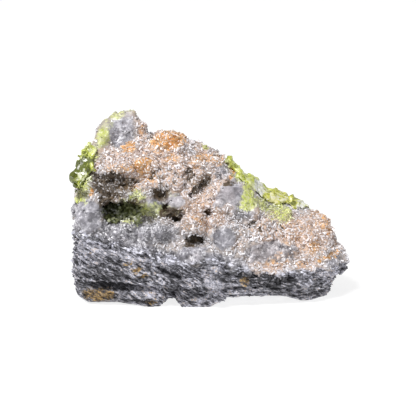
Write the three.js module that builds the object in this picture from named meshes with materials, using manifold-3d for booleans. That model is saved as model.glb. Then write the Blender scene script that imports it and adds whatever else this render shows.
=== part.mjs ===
// A hand specimen of pyromorphite: green lead-phosphate crystals on drusy vein quartz, which grew on
// foliated gneiss. Millimetres, +X to the right, +Y to the back, +Z up. The specimen stands on z = 0,
// and the origin is the centre of its bounding box there.
//
//   gneiss_wall_rock    the grey foliated slab at the base, broken into ledges along its foliation
//   vein_quartz         the quartz on it: peak, iron-stained nodules, knob, pits and the open vug
//   pyromorphite_crust  the green crystal crust over the back, which comes round the left edge and
//                       over the right slope
//   vug_pyromorphite    the green crystals that line the vug in the front

import * as THREE from "three";
import { LoftGeometry } from "three/addons/geometries/LoftGeometry.js";
import { ImprovedNoise } from "three/addons/math/ImprovedNoise.js";
import { mergeVertices } from "three/addons/utils/BufferGeometryUtils.js";
import Module from "manifold-3d";

const { lerp, clamp, degToRad } = THREE.MathUtils;
const wasm = await Module();
wasm.setup();

// ---- Driving dimensions ------------------------------------------------------------------------

const LENGTH = 92; // left face to right tip
const CLEARANCE = 0.3; // gap kept between two nodes that touch
const ROUGHNESS = 0.6; // height of the broken rock surface
const ROUGH_WAVE = 5; // spacing of that roughness
const DRUSE_RISE = 6; // height of the knobbly druse over the front of the quartz
const DRUSE_WAVE = 8; // spacing of its knobs
const BLOB_ROUGHNESS = 0.55; // how far nodules and hollows stray from an ellipsoid, as a share
const FOLIATION_DIP = degToRad(6); // the gneiss layers go down to the right
const CONTACT_BACK_RISE = -0.12; // the top of the gneiss goes down this much per millimetre of depth

// Skyline of the bare rock, [x, y, z] from the left face to the right tip. Its x are the stations.
const SKYLINE = [
  [-43.4, -3, 31],
  [-42.4, -2, 37],
  [-40.6, 0, 42.6],
  [-38.4, 1, 47.8],
  [-36, 2, 53.4],
  [-33.5, 3, 58],
  [-31, 4, 60],
  [-28.6, 4, 60.8],
  [-24, 4, 60.6],
  [-22, 4, 57],
  [-19.6, 4, 53.8],
  [-15.6, 4, 53.6],
  [-11.8, 4, 54.2],
  [-8, 4, 52.4],
  [-3.4, 5, 50.6],
  [0.6, 6, 48.8],
  [3.6, 7, 45.8],
  [6.2, 8, 41.6],
  [9.4, 9, 38.8],
  [12.6, 10, 36.4],
  [17, 12, 34.4],
  [21, 13, 31.6],
  [25.6, 13, 30],
  [30, 12, 28],
  [34, 9, 26.4],
  [38.4, 8, 25],
  [41.8, 6, 22],
  [44.2, 4, 16.4],
  [46, 2, 12.4],
];

// Front bottom edge, [x, height, inset]: the rock meets the ground inset behind that edge.
const FRONT_EDGE = [
  [-43.4, 6, 9],
  [-42.4, 3.4, 8],
  [-40.4, 1.4, 7],
  [-38, 0.6, 6],
  [-28, 2, 6],
  [-24, 0.9, 6],
  [-20, 0.3, 6],
  [3, 0.3, 6],
  [4.4, 3.2, 17],
  [20, 3.6, 17],
  [27, 2.6, 14],
  [31, 0.4, 6],
  [37.6, 0.4, 5],
  [39.8, 2.4, 5],
  [41.8, 5, 4],
  [44.2, 8, 3],
  [46, 10, 2],
];

// Side profiles, as [y, z]. Front: waist, shelf, belly, lip, brow, crest. Back: nape, middle, heel.
const SECTIONS = [
  {
    x: -43.4,
    toe: -13,
    front: [[-16, 10], [-16, 19], [-15, 25], [-13, 28], [-11, 30], [-8, 31.5]],
    back: [[10, 29], [15, 17], [13, 0]],
  },
  {
    x: -41,
    toe: -15,
    front: [[-19, 9], [-18.5, 19], [-17, 25], [-15, 30], [-11, 36], [-5, 40]],
    back: [[13, 33], [19, 18], [17, 0]],
  },
  {
    x: -36,
    toe: -17,
    front: [[-21, 8], [-20, 18], [-14, 24], [-14.5, 37], [-9, 43], [-4, 48]],
    back: [[14, 40], [21, 20], [19, 0]],
  },
  {
    x: -28,
    toe: -18.5,
    front: [[-22, 8], [-21, 16], [-15, 22], [-15.5, 37], [-7, 46], [-1, 50.5]],
    back: [[14, 44], [22, 21], [20, 0]],
  },
  {
    x: -20,
    toe: -19.5,
    front: [[-23, 8], [-22, 14], [-16, 20], [-14.5, 35], [-8, 45], [-1, 52]],
    back: [[15, 42], [23, 22], [20, 0]],
  },
  {
    x: -10,
    toe: -20,
    front: [[-23, 8], [-21.5, 13], [-17, 20], [-14, 33], [-8, 43], [-1, 51.5]],
    back: [[15, 40], [23, 22], [21, 0]],
  },
  {
    x: 0,
    toe: -20,
    front: [[-23, 7], [-20.5, 13], [-16, 21], [-13, 31], [-8, 39], [-1, 46]],
    back: [[16, 37], [23, 20], [21, 0]],
  },
  {
    x: 9,
    toe: -20,
    front: [[-22, 8], [-20, 12], [-16, 20], [-12, 29], [-8, 35], [-4, 39]],
    back: [[17, 31], [23, 18], [20, 0]],
  },
  {
    x: 19,
    toe: -19,
    front: [[-21, 7.5], [-19, 11], [-16, 15], [-13, 19], [-10, 23], [-7, 26.6]],
    back: [[18, 25], [23, 14], [20, 0]],
  },
  {
    x: 30,
    toe: -15,
    front: [[-18, 6], [-17, 10], [-14, 14], [-11, 17], [-7.5, 20.5], [-3, 23.8]],
    back: [[16, 21], [20, 12], [18, 0]],
  },
  {
    x: 38,
    toe: -10,
    front: [[-14, 6], [-13, 12], [-11, 15], [-8, 18], [-5, 21], [-1, 23]],
    back: [[12, 19], [15, 12], [13, 0]],
  },
  {
    x: 43,
    toe: -6,
    front: [[-8, 8], [-8, 11.6], [-6.5, 13.6], [-5, 15], [-3, 16.4], [-1, 17.4]],
    back: [[8, 14], [10, 10], [8, 5]],
  },
  {
    x: 46,
    toe: -2,
    front: [[-3, 10.2], [-3, 10.8], [-2.6, 11.2], [-2, 11.6], [-1, 11.9], [0, 12.2]],
    back: [[3, 12], [4, 11.2], [3, 10]],
  },
];

// Top of the gneiss at the front, [x, z], where the quartz begins.
const CONTACT = [
  [-44, 22.4],
  [-40, 21.6],
  [-28, 18.4],
  [-16, 15.6],
  [-8, 13.8],
  [0, 13.8],
  [9, 12.2],
  [19, 10],
  [30, 10.2],
  [38, 12.2],
  [43, 12],
  [46, 11.1],
];

// Foliation ledges: heights at x = 0, and how far each layer stands back, from the ground up.
const LEDGES = [2.6, 6, 9.4, 13.4];
const LAYER_BACK = [0.2, 1.2, 0, 1, 0.2];

// Swellings of the front: middle, reach along X and Z, and how far each stands proud.
const LUMPS = [
  { name: "left quartz lump", x: -39.6, z: 26.6, reach: [5.5, 5], rise: 2 },
  { name: "left druse shoulder", x: -34, z: 41, reach: [5, 4], rise: 1.4 },
  { name: "lip over the vug", x: -26, z: 37.5, reach: [8, 3], rise: 2 },
  { name: "orange shoulder", x: -11.5, z: 50, reach: [5, 3.5], rise: 1.2 },
  { name: "pale lump under the window", x: -4.8, z: 16.4, reach: [6.5, 3], rise: 2 },
  { name: "grey quartz boulder", x: 5.2, z: 20.5, reach: [5, 4], rise: 1.8 },
  { name: "lilac wall", x: 8, z: 33, reach: [4, 5], rise: 1.4 },
  { name: "gneiss bulge", x: 1.8, z: 8.6, reach: [4.5, 4], rise: 1.4 },
  { name: "rusty lump at the left foot", x: -36, z: 3, reach: [5, 2.6], rise: 1.2 },
  { name: "right shoulder", x: 36.5, z: 22, reach: [4.5, 3.5], rise: 1.2 },
];

// Nodules fused to the front: middle, radius, and how far the middle is sunk in the rock.
const NODULES = [
  { name: "rust nodule", x: -21.7, z: 44.6, radius: 4.2, sunk: 1.4 },
  { name: "orange nodule", x: -12, z: 48.6, radius: 4.6, sunk: 2.2 },
  { name: "nodule by the groove", x: -13.6, z: 39, radius: 3.8, sunk: 1.4 },
  { name: "lip nodule, left", x: -33, z: 39.4, radius: 3.4, sunk: 1.4 },
  { name: "lip nodule, middle", x: -26, z: 36.4, radius: 3, sunk: 1 },
  { name: "beige nodule, left", x: -13.4, z: 24, radius: 3.8, sunk: 1.4 },
  { name: "beige nodule, middle", x: -5.6, z: 26.6, radius: 3.6, sunk: 1.2 },
  { name: "beige nodule, right", x: 2.4, z: 26, radius: 3.2, sunk: 1.2 },
  { name: "right quartz lump", x: 14.6, z: 19, radius: 4.4, sunk: 2.4 },
];
// Quartz points of the druse between them.
const POINTS = { apart: 6.2, radius: [1.5, 2.3], height: [1, 1.8], root: 1, seed: 11 };

// Hollows in the front: middle, half sizes across, up and in, and the turn about Y in degrees.
// Sunk is how far the middle lies behind the surface, and detail is how finely it is faceted.
const VUG = { x: -28, z: 29.4, half: [8.2, 4.6, 7], turn: -4, sunk: 2.5 };
const HOLLOWS = [
  { name: "right arm of the vug", x: -20.6, z: 28.6, half: [5.4, 3.6, 6.5], turn: -10 },
  { name: "groove beside the knob", x: -14.4, z: 33.2, half: [5.6, 2, 5.5], turn: 44 },
  { name: "hole under the knob", x: -9.8, z: 28.4, half: [2.6, 2.2, 6], turn: 0, detail: 0 },
  { name: "window", x: -4, z: 20.8, half: [3.9, 2.1, 5.5], turn: 4 },
  { name: "right end of the window", x: 0.6, z: 21.4, half: [2.4, 1.5, 3.6], turn: -12, detail: 0 },
  { name: "pit between the nodules", x: 0.2, z: 30.4, half: [1.9, 2.6, 4], turn: 12, detail: 0 },
  { name: "upper pit", x: -5.8, z: 41, half: [2.6, 1.6, 3.8], turn: 10, detail: 0 },
  { name: "middle pit", x: -2.4, z: 36.8, half: [2.8, 1.9, 4.2], turn: -20 },
  { name: "right pit", x: 2, z: 39.6, half: [2.4, 1.5, 3.6], turn: 0, detail: 0 },
];
// Recesses in the gneiss, given in the same way.
const RECESSES = [
  { name: "recess over the left foot", x: -29, z: 6.6, half: [12, 1.3, 4.4], turn: 3 },
  { name: "split under the pale lump", x: -13.5, z: 12.2, half: [6, 1, 4], turn: 24 },
  { name: "notch in the base", x: -11.7, z: -0.4, half: [2.2, 4.4, 12], turn: 0 },
];
// Smooth knob of grey quartz that stands in the groove.
const KNOB = { x: -7.6, z: 32.6, half: [3.2, 2.2, 3.4], turn: 0, sunk: 1 };

// Crystals of the crust and the vug: stubby six-sided prisms, a little narrower at the top.
const CRUST = { thickness: 1.5, apart: 7.8, radius: [1.7, 3], height: [0.5, 1.3], root: 2.4, seed: 5 };
const VUG_CRYSTALS = { count: 8, radius: [0.9, 1.6], height: [2.4, 4.8], seed: 23 };
// Front edge of the crust over the top, [x, y].
const CRUST_EDGE = [
  [-46, -4],
  [-40, -2],
  [-33.5, 6],
  [-24, 8.5],
  [-8, 8.5],
  [2, 9],
  [5.5, 5],
  [9.4, -5],
  [14, -3],
  [19, 0.5],
  [30, 3.5],
  [38, 10],
];

// ---- Helpers -----------------------------------------------------------------------------------

const perlin = new ImprovedNoise();

/** A repeatable stream of numbers from 0 to 1. */
function randomStream(seed) {
  let state = seed;
  return () => {
    state = (state * 1664525 + 1013904223) % 4294967296;
    return state / 4294967296;
  };
}

/** Straight interpolation of rows [x, a, b, ...] at x: the values after x. */
function along(rows, x) {
  const found = rows.findIndex((row) => row[0] >= x);
  const upper = found < 0 ? rows.length - 1 : Math.max(found, 1);
  const [a, b] = [rows[upper - 1], rows[upper]];
  const t = clamp((x - a[0]) / (b[0] - a[0]), 0, 1);
  return mixed(a, b, t).slice(1);
}

/** A straight mix of two lists of numbers. */
const mixed = (a, b, t) => a.map((value, i) => lerp(value, b[i], t));

/** A line of corners with each stretch cut into equal parts. */
function subdivided(corners, parts) {
  const shares = Array.from({ length: parts }, (_, k) => k / parts);
  const steps = corners.slice(1).flatMap((to, i) => shares.map((t) => mixed(corners[i], to, t)));
  return [...steps, corners[corners.length - 1]];
}

/** A copy of the geometry with positions only and its shared vertices merged. */
function bareCopy(geometry) {
  const bare = new THREE.BufferGeometry().setIndex(geometry.index ? geometry.index.clone() : null);
  return mergeVertices(bare.setAttribute("position", geometry.attributes.position.clone()), 1e-4);
}

/** A closed geometry as a solid that can be joined and cut. */
function solid(geometry) {
  const merged = bareCopy(geometry);
  const vertProperties = merged.attributes.position.array;
  const triVerts = new Uint32Array(merged.index.array);
  return new wasm.Manifold(new wasm.Mesh({ numProp: 3, vertProperties, triVerts }));
}

/** A solid's surface as a geometry, to be shown by a mesh. */
function geometryOf(made) {
  const mesh = made.getMesh();
  return new THREE.BufferGeometry()
    .setAttribute("position", new THREE.BufferAttribute(mesh.vertProperties, 3))
    .setIndex(new THREE.BufferAttribute(mesh.triVerts, 1));
}

/** Only the largest of a solid's separate bodies. */
function largest(made) {
  return made.decompose().reduce((a, b) => (b.volume() > a.volume() ? b : a));
}

/** The geometry with each vertex moved to place(point, normal). */
function reshaped(geometry, place) {
  const moved = bareCopy(geometry);
  moved.computeVertexNormals();
  const { position, normal } = moved.attributes;
  for (let i = 0; i < position.count; i++) {
    const point = new THREE.Vector3().fromBufferAttribute(position, i);
    const out = new THREE.Vector3().fromBufferAttribute(normal, i);
    const to = place(point, out);
    position.setXYZ(i, to.x, to.y, to.z);
  }
  moved.computeVertexNormals();
  return moved;
}

// ---- Profiles of the rock ----------------------------------------------------------------------

/** The side profile's corners at x. */
function profileAt(x) {
  const upper = Math.max(SECTIONS.findIndex((s) => s.x >= x), 1);
  const [a, b] = [SECTIONS[upper - 1], SECTIONS[upper]];
  const t = clamp((x - a.x) / (b.x - a.x), 0, 1);
  return {
    toe: [lerp(a.toe, b.toe, t), along(FRONT_EDGE, x)[0]],
    front: a.front.map((corner, i) => mixed(corner, b.front[i], t)),
    skyline: along(SKYLINE, x),
    back: a.back.map((corner, i) => mixed(corner, b.back[i], t)),
  };
}

/** Depth of the front surface at x and height z. */
function frontDepth(x, z) {
  const { toe, front, skyline } = profileAt(x);
  return along([toe, ...front, skyline].map(([y, height]) => [height, y]), z)[0];
}

/** Depth of the back surface at x and height z. */
function backDepth(x, z) {
  const { skyline, back } = profileAt(x);
  return along([back[2], back[1], back[0], skyline].map(([y, height]) => [height, y]), z)[0];
}

/** Height of the contact of gneiss and quartz at x and depth y. */
function contactHeight(x, y) {
  const [front] = along(CONTACT, x);
  const narrow = clamp((LENGTH / 2 - Math.abs(x)) / 6, 0, 1);
  return front + narrow * (CONTACT_BACK_RISE * (y + 20) + 0.5 * perlin.noise(x / 9, y / 9, 4.5));
}

/** The contact from front to back at x, as [y, z] points. */
function contactLine(x) {
  const [z] = along(CONTACT, x);
  const [from, to] = [frontDepth(x, z), backDepth(x, z + CONTACT_BACK_RISE * 40)];
  return subdivided([[from], [to]], 4).map(([y]) => [y, contactHeight(x, y)]);
}

/** Front of the gneiss at x from the contact down to the toe, with its ledges. */
function gneissFront(x) {
  const { toe } = profileAt(x);
  const [, contact] = contactLine(x)[0];
  const count = LEDGES.length;
  const heights = LEDGES.map((height, k) => {
    const wander = 0.7 * Math.sin(x / 6.3 + 2 * k) + 0.4 * Math.sin(x / 2.9 + k);
    const wanted = height - x * Math.tan(FOLIATION_DIP) + wander;
    const least = (contact - toe[1]) / (2 * count + 2);
    return clamp(wanted, toe[1] + least * (k + 1), contact - least * (count - k));
  });
  const edges = [toe[1], ...heights, contact];
  const points = edges.slice(1).flatMap((top, k) => {
    const heightsOfLayer = [0.12, 0.5, 1].map((t) => lerp(edges[k], top, t));
    return heightsOfLayer.map((z) => [frontDepth(x, z) + LAYER_BACK[k], z]);
  });
  points.pop(); // the contact line holds this one
  return [toe, ...points].reverse();
}

/** Outline of the gneiss at x as [y, z] points, counterclockwise seen from the right. */
function gneissOutline(x) {
  const { toe, back } = profileAt(x);
  const contact = contactLine(x);
  const [backY, backZ] = contact[contact.length - 1];
  const heel = [back[2][0], back[2][1] - 0.6];
  const [, inset] = along(FRONT_EDGE, x);
  const sole = [Math.min(toe[0] + inset, (toe[0] + heel[0]) / 2), heel[1]];
  const rise = Array.from({ length: 4 }, (_, k) => {
    const z = lerp(heel[1], backZ, (k + 1) / 5);
    return [lerp(backDepth(x, z), backY, (k + 1) / 5) - 0.9 * (k % 2), z];
  });
  const front = gneissFront(x);
  return [...subdivided([sole, heel], 2), ...rise, ...contact.slice().reverse(), ...front];
}

/** Outline of the quartz at x as [y, z] points, counterclockwise seen from the right. */
function quartzOutline(x) {
  const { front, skyline, back } = profileAt(x);
  const contact = contactLine(x);
  const [start, end] = [contact[0], contact[contact.length - 1]];
  // The waist and the shelf lie in the gneiss; the other corners stay above its top.
  const corners = front.slice(2).map(([y, z], i) => [y, Math.max(z, start[1] + 0.4 * (i + 1))]);
  const face = [start, ...corners, skyline];
  const rear = [end, [back[1][0], Math.max(back[1][1], end[1] + 0.6)], back[0], skyline];
  const up = subdivided(rear, 2);
  const down = subdivided(face.reverse(), 3);
  return [...contact, ...up.slice(1), ...down.slice(1, -1)];
}

/** A loft of outline(x) over all the stations, with its end faces drawn in and capped. */
function rockLoft(outline) {
  const rings = SKYLINE.map(([x]) => outline(x).map(([y, z]) => new THREE.Vector3(x, y, z)));
  const drawnIn = (ring, share, outward) => {
    const middle = new THREE.Box3().setFromPoints(ring).getCenter(new THREE.Vector3());
    return ring.map((p) => middle.clone().lerp(p, share).setX(p.x + outward));
  };
  const [first, last] = [rings[0], rings[rings.length - 1]];
  const leftEnd = [drawnIn(first, 0.45, -0.8), drawnIn(first, 0.85, -0.55)];
  const sections = [...leftEnd, ...rings, drawnIn(last, 0.5, 0.5)];
  return new LoftGeometry(sections, { capStart: true, capEnd: true });
}

// ---- Surface of the rock -----------------------------------------------------------------------

/** Displacement of the broken surface at a point, fading out on the hidden contact inside. */
function roughness(point) {
  const p = point.clone().divideScalar(ROUGH_WAVE);
  const { x, y, z } = point;
  const inside = Math.min(y - frontDepth(x, z), backDepth(x, z) - y);
  const amount = ROUGHNESS * clamp(1 - inside / 4, 0, 1);
  const at = (shift) => {
    const coarse = perlin.noise(p.x + shift, p.y, p.z);
    return 1.5 * coarse + perlin.noise(2.1 * p.x, 2.1 * p.y + shift, 2.1 * p.z);
  };
  const low = clamp(point.z / 4, 0, 1);
  return new THREE.Vector3(at(0.5), at(20.5), 0.7 * low * at(40.5)).multiplyScalar(amount);
}

/** How far the named lumps lift the front at a point. */
function lumpRise(point) {
  return LUMPS.reduce((sum, lump) => {
    const across = (point.x - lump.x) / lump.reach[0];
    const up = (point.z - lump.z) / lump.reach[1];
    return sum + lump.rise * Math.exp(-across * across - up * up);
  }, 0);
}

/** Height of the knobbly druse at a point: rounded knobs with creases between them. */
function druseRise({ x, y, z }) {
  const [shelf] = along(CONTACT, x);
  const [skyY, skyZ] = along(SKYLINE, x);
  const sideways = Math.min((44 - x) / 4, (x + 42) / 4);
  const within = Math.min((z - shelf - 5) / 4, (skyY - y) / 3, (skyZ + 1 - z) / 3, sideways);
  const knobs = Math.abs(perlin.noise(x / DRUSE_WAVE, y / DRUSE_WAVE + 3, z / DRUSE_WAVE));
  return DRUSE_RISE * (knobs - 0.15) * clamp(within, 0, 1);
}

/** Where a point of the smooth loft lies on the real surface; out is the loft's normal there. */
function onSurface(point, out = new THREE.Vector3(0, -1, 0)) {
  const depth = (point.y - frontDepth(point.x, point.z)) / 6;
  const lift = lumpRise(point) * clamp(1 - depth, 0, 1);
  const moved = point.clone().add(roughness(point)).addScaledVector(out, druseRise(point));
  return moved.add(new THREE.Vector3(0, -lift, 0.25 * lift));
}

const quartzSkin = reshaped(rockLoft(quartzOutline), onSurface);
const gneissSkin = reshaped(rockLoft(gneissOutline), onSurface).translate(0, 0, -CLEARANCE);

/** The quartz's skin moved out by spread(point, normal). */
function quartzShell(spread) {
  return solid(reshaped(quartzSkin, (p, n) => p.clone().addScaledVector(n, spread(p, n))));
}

// ---- Cutters and growths -----------------------------------------------------------------------

/** A rough ellipsoid with its middle sunk behind the front's surface, made larger by grow. */
function blob({ x, z, half, turn = 0, sunk = 0, detail = 1 }, grow = 0) {
  const [across, up, into] = half.map((size) => size + grow);
  const ball = reshaped(new THREE.IcosahedronGeometry(1, detail), (p) => {
    const uneven = perlin.noise(1.3 * p.x + x, 1.3 * p.y + z, 1.3 * p.z);
    return p.clone().multiplyScalar(1 + BLOB_ROUGHNESS * uneven);
  });
  return ball
    .scale(across, into, up)
    .rotateY(degToRad(turn))
    .translate(x, onSurface(new THREE.Vector3(x, frontDepth(x, z), z)).y + sunk, z);
}

/** A rough nodule on the front. */
function nodule({ x, z, radius, sunk }) {
  const half = [radius, radius, radius];
  return blob({ x, z, half, sunk, turn: 40 * x, detail: radius > 3.3 ? 1 : 0 });
}

/** A six-sided crystal along +Z, from root below its foot to its height; tip is its top radius. */
function crystal(radius, tip, height, root) {
  const length = height + root;
  const shape = new THREE.CylinderGeometry(tip, radius, length, 6);
  return shape.rotateX(Math.PI / 2).translate(0, 0, height - length / 2);
}

/** The shape turned to stand along a direction, and moved to a point. */
function planted(shape, point, direction, spin) {
  const turn = new THREE.Quaternion().setFromUnitVectors(new THREE.Vector3(0, 0, 1), direction);
  return shape.rotateZ(spin).applyQuaternion(turn).translate(point.x, point.y, point.z);
}

/** Vertices of a geometry that keep() accepts, in random order and at least apart from each other. */
function sites(geometry, keep, apart, next) {
  const { position, normal } = geometry.attributes;
  const shuffled = Array.from({ length: position.count }, (_, i) => [next(), i]);
  shuffled.sort((a, b) => a[0] - b[0]);
  const found = [];
  for (const [, i] of shuffled) {
    const point = new THREE.Vector3().fromBufferAttribute(position, i);
    const out = new THREE.Vector3().fromBufferAttribute(normal, i);
    const free = found.every((site) => site.point.distanceTo(point) > apart);
    if (free && keep(point, out)) found.push({ point, out });
  }
  return found;
}

/** A random direction near to one given. */
function leaning(direction, amount, next) {
  const lean = new THREE.Vector3(next() - 0.5, next() - 0.5, next() - 0.5).multiplyScalar(2 * amount);
  return direction.clone().add(lean).normalize();
}

// ---- Gneiss ------------------------------------------------------------------------------------

/** The foliated slab, cut flat where it stands on the ground. */
function gneissWallRock() {
  const ground = new THREE.BoxGeometry(2 * LENGTH, 2 * LENGTH, 20).translate(0, 0, -10);
  const cutters = [ground, ...RECESSES.map((recess) => blob(recess))];
  return largest(cutters.reduce((rock, cutter) => rock.subtract(solid(cutter)), solid(gneissSkin)));
}

// ---- Quartz ------------------------------------------------------------------------------------

/** Quartz points over the druse of the front. */
function quartzPoints() {
  const next = randomStream(POINTS.seed);
  const onDruse = (p, n) => {
    const facing = n.y < -0.3 && Math.abs(p.x) < 37;
    return facing && p.z > along(CONTACT, p.x)[0] + 9 && crustCover(p) < -0.9;
  };
  return sites(quartzSkin, onDruse, POINTS.apart, next).map(({ point, out }) => {
    const radius = lerp(...POINTS.radius, next());
    const shape = crystal(radius, 0, lerp(...POINTS.height, next()), POINTS.root);
    return planted(shape, point, leaning(out, 0.5, next), next());
  });
}

/** The quartz with its nodules, points, knob, pits and vug. */
function veinQuartz() {
  const grown = [...NODULES.map(nodule), ...quartzPoints()];
  const body = grown.reduce((rock, lump) => rock.add(solid(lump)), solid(quartzSkin));
  const holes = [blob(VUG), ...HOLLOWS.map((hole) => blob(hole))];
  const pitted = holes.reduce((rock, hole) => rock.subtract(solid(hole)), body);
  return largest(pitted.add(solid(blob(KNOB))));
}

// ---- Pyromorphite ------------------------------------------------------------------------------

/** How fully the crust covers the rock at a point: 1 inside it, falling below 0 outside. */
function crustCover(point) {
  const { x, y, z } = point;
  const wander = 2.4 * perlin.noise(x / 6, y / 6, z / 6 + 9);
  const back = Math.min(y - along(CRUST_EDGE, x)[0], z - contactHeight(x, y) - 3, 37 - x, x + 42.5);
  const leftEdge = Math.min(-35.5 - x, z - 33, 0.4 * (z - 26) - y - 3, y + 13);
  return clamp((Math.max(back, leftEdge) + wander) / 2, -1, 1);
}

/** Thickness of the knobbly plate that the crust's crystals stand on. */
function plateRise(point) {
  const knobs = Math.abs(perlin.noise(point.x / 6 + 30, point.y / 6, point.z / 6));
  return CRUST.thickness * crustCover(point) * (0.75 + 2 * knobs);
}

/** The green crust over the back, the left edge and the right slope. */
function pyromorphiteCrust() {
  const next = randomStream(CRUST.seed);
  const plate = reshaped(quartzSkin, (p, n) => p.clone().addScaledVector(n, plateRise(p)));
  const crystals = sites(plate, (p) => crustCover(p) > 0.6, CRUST.apart, next).map(({ point, out }) => {
    const radius = lerp(...CRUST.radius, next());
    const shape = crystal(radius, 0.8 * radius, lerp(...CRUST.height, next()), CRUST.root);
    return planted(shape, point, leaning(out, 0.4, next), next());
  });
  const grown = crystals.reduce((crust, shape) => crust.add(solid(shape)), solid(plate));
  const clear = quartzShell((p) => (crustCover(p) > -0.5 ? CLEARANCE : 0.8 * CRUST.root));
  return largest(grown.subtract(clear));
}

/** The green crystals in the vug: prisms fused to a lining that keeps clear of the vug's wall. */
function vugPyromorphite() {
  const next = randomStream(VUG_CRYSTALS.seed);
  const wall = solid(blob(VUG, -CLEARANCE));
  const open = solid(blob({ ...VUG, sunk: VUG.sunk - 2 }, 0.4));
  const floor = frontDepth(VUG.x, VUG.z) + VUG.sunk + VUG.half[2] - 2;
  const crystals = Array.from({ length: VUG_CRYSTALS.count }, () => {
    const across = lerp(-4.5, 5.5, next());
    const foot = new THREE.Vector3(VUG.x + across, floor, VUG.z + lerp(-2.4, 2, next()));
    const radius = lerp(...VUG_CRYSTALS.radius, next());
    const shape = crystal(radius, 0.8 * radius, lerp(...VUG_CRYSTALS.height, next()), 2);
    return planted(shape, foot, leaning(new THREE.Vector3(0, -1, 0.3), 0.5, next), next());
  });
  const lining = wall.subtract(open);
  return largest(crystals.reduce((all, shape) => all.add(solid(shape).intersect(wall)), lining));
}

// ---- The specimen ------------------------------------------------------------------------------

/** A named mesh with its own mineral material. */
function piece(name, made, finish) {
  const material = new THREE.MeshStandardMaterial({ ...finish, metalness: 0, flatShading: true });
  const mesh = new THREE.Mesh(geometryOf(made), material);
  mesh.name = name;
  return mesh;
}

const specimen = new THREE.Group();
specimen.add(piece("gneiss_wall_rock", gneissWallRock(), { color: 0x8b8b93, roughness: 0.85 }));
specimen.add(piece("vein_quartz", veinQuartz(), { color: 0xd3cac6, roughness: 0.55 }));
specimen.add(piece("pyromorphite_crust", pyromorphiteCrust(), { color: 0xb4bf4a, roughness: 0.35 }));
specimen.add(piece("vug_pyromorphite", vugPyromorphite(), { color: 0x6f7a35, roughness: 0.35 }));

// The origin goes to the middle of the bounding box, on the ground.
const middle = new THREE.Box3().setFromObject(specimen).getCenter(new THREE.Vector3());
specimen.children.forEach((mesh) => mesh.geometry.translate(-middle.x, -middle.y, 0));

export default specimen;
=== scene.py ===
"""Pyromorphite specimen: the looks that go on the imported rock.

Foliated gneiss carries vein quartz with a sugary, iron-stained druse. Green pyromorphite covers the
back, comes round the left edge and over the right slope, and lines a vug in the front.

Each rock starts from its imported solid, which is remeshed finely and given its broken surface in
code. The small crystals are scattered over those surfaces by Geometry Nodes, as one mesh for each
piece. Lengths in this script are millimetres, and become metres where a mesh is written. X points
right, Y back and Z up.
"""

from __future__ import annotations

import logging
import math
from collections.abc import Iterable, Mapping, Sequence
from dataclasses import dataclass
from enum import Enum, IntEnum, StrEnum
from itertools import product
from typing import Any

import bmesh
import bpy
import numpy as np
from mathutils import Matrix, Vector
from mathutils.kdtree import KDTree

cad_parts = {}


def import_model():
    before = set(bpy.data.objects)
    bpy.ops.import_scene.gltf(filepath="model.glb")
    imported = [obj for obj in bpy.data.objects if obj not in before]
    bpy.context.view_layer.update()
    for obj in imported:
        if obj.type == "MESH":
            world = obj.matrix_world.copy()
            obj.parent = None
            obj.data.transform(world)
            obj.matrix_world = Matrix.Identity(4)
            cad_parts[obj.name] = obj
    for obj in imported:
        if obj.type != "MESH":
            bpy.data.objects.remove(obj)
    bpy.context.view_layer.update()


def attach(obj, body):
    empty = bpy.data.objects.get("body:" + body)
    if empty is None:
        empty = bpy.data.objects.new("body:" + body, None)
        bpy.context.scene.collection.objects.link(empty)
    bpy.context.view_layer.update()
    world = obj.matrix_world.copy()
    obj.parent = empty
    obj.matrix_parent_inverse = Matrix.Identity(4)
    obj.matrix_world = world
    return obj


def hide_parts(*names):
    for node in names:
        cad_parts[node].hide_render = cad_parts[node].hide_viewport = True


log = logging.getLogger("specimen")

MM = 0.001
BODY = "root"
SEED = 2024
UP = (0.0, 0.0, 1.0)
# Width of the faces of a first, coarse skin.
COARSE = 1.0

Triple = tuple[float, float, float]
Points = np.ndarray
Values = np.ndarray


class Node(StrEnum):
    """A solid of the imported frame."""

    GNEISS = "gneiss_wall_rock"
    QUARTZ = "vein_quartz"
    CRUST = "pyromorphite_crust"
    VUG = "vug_pyromorphite"


# ---- Noise -------------------------------------------------------------------------------------


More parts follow.
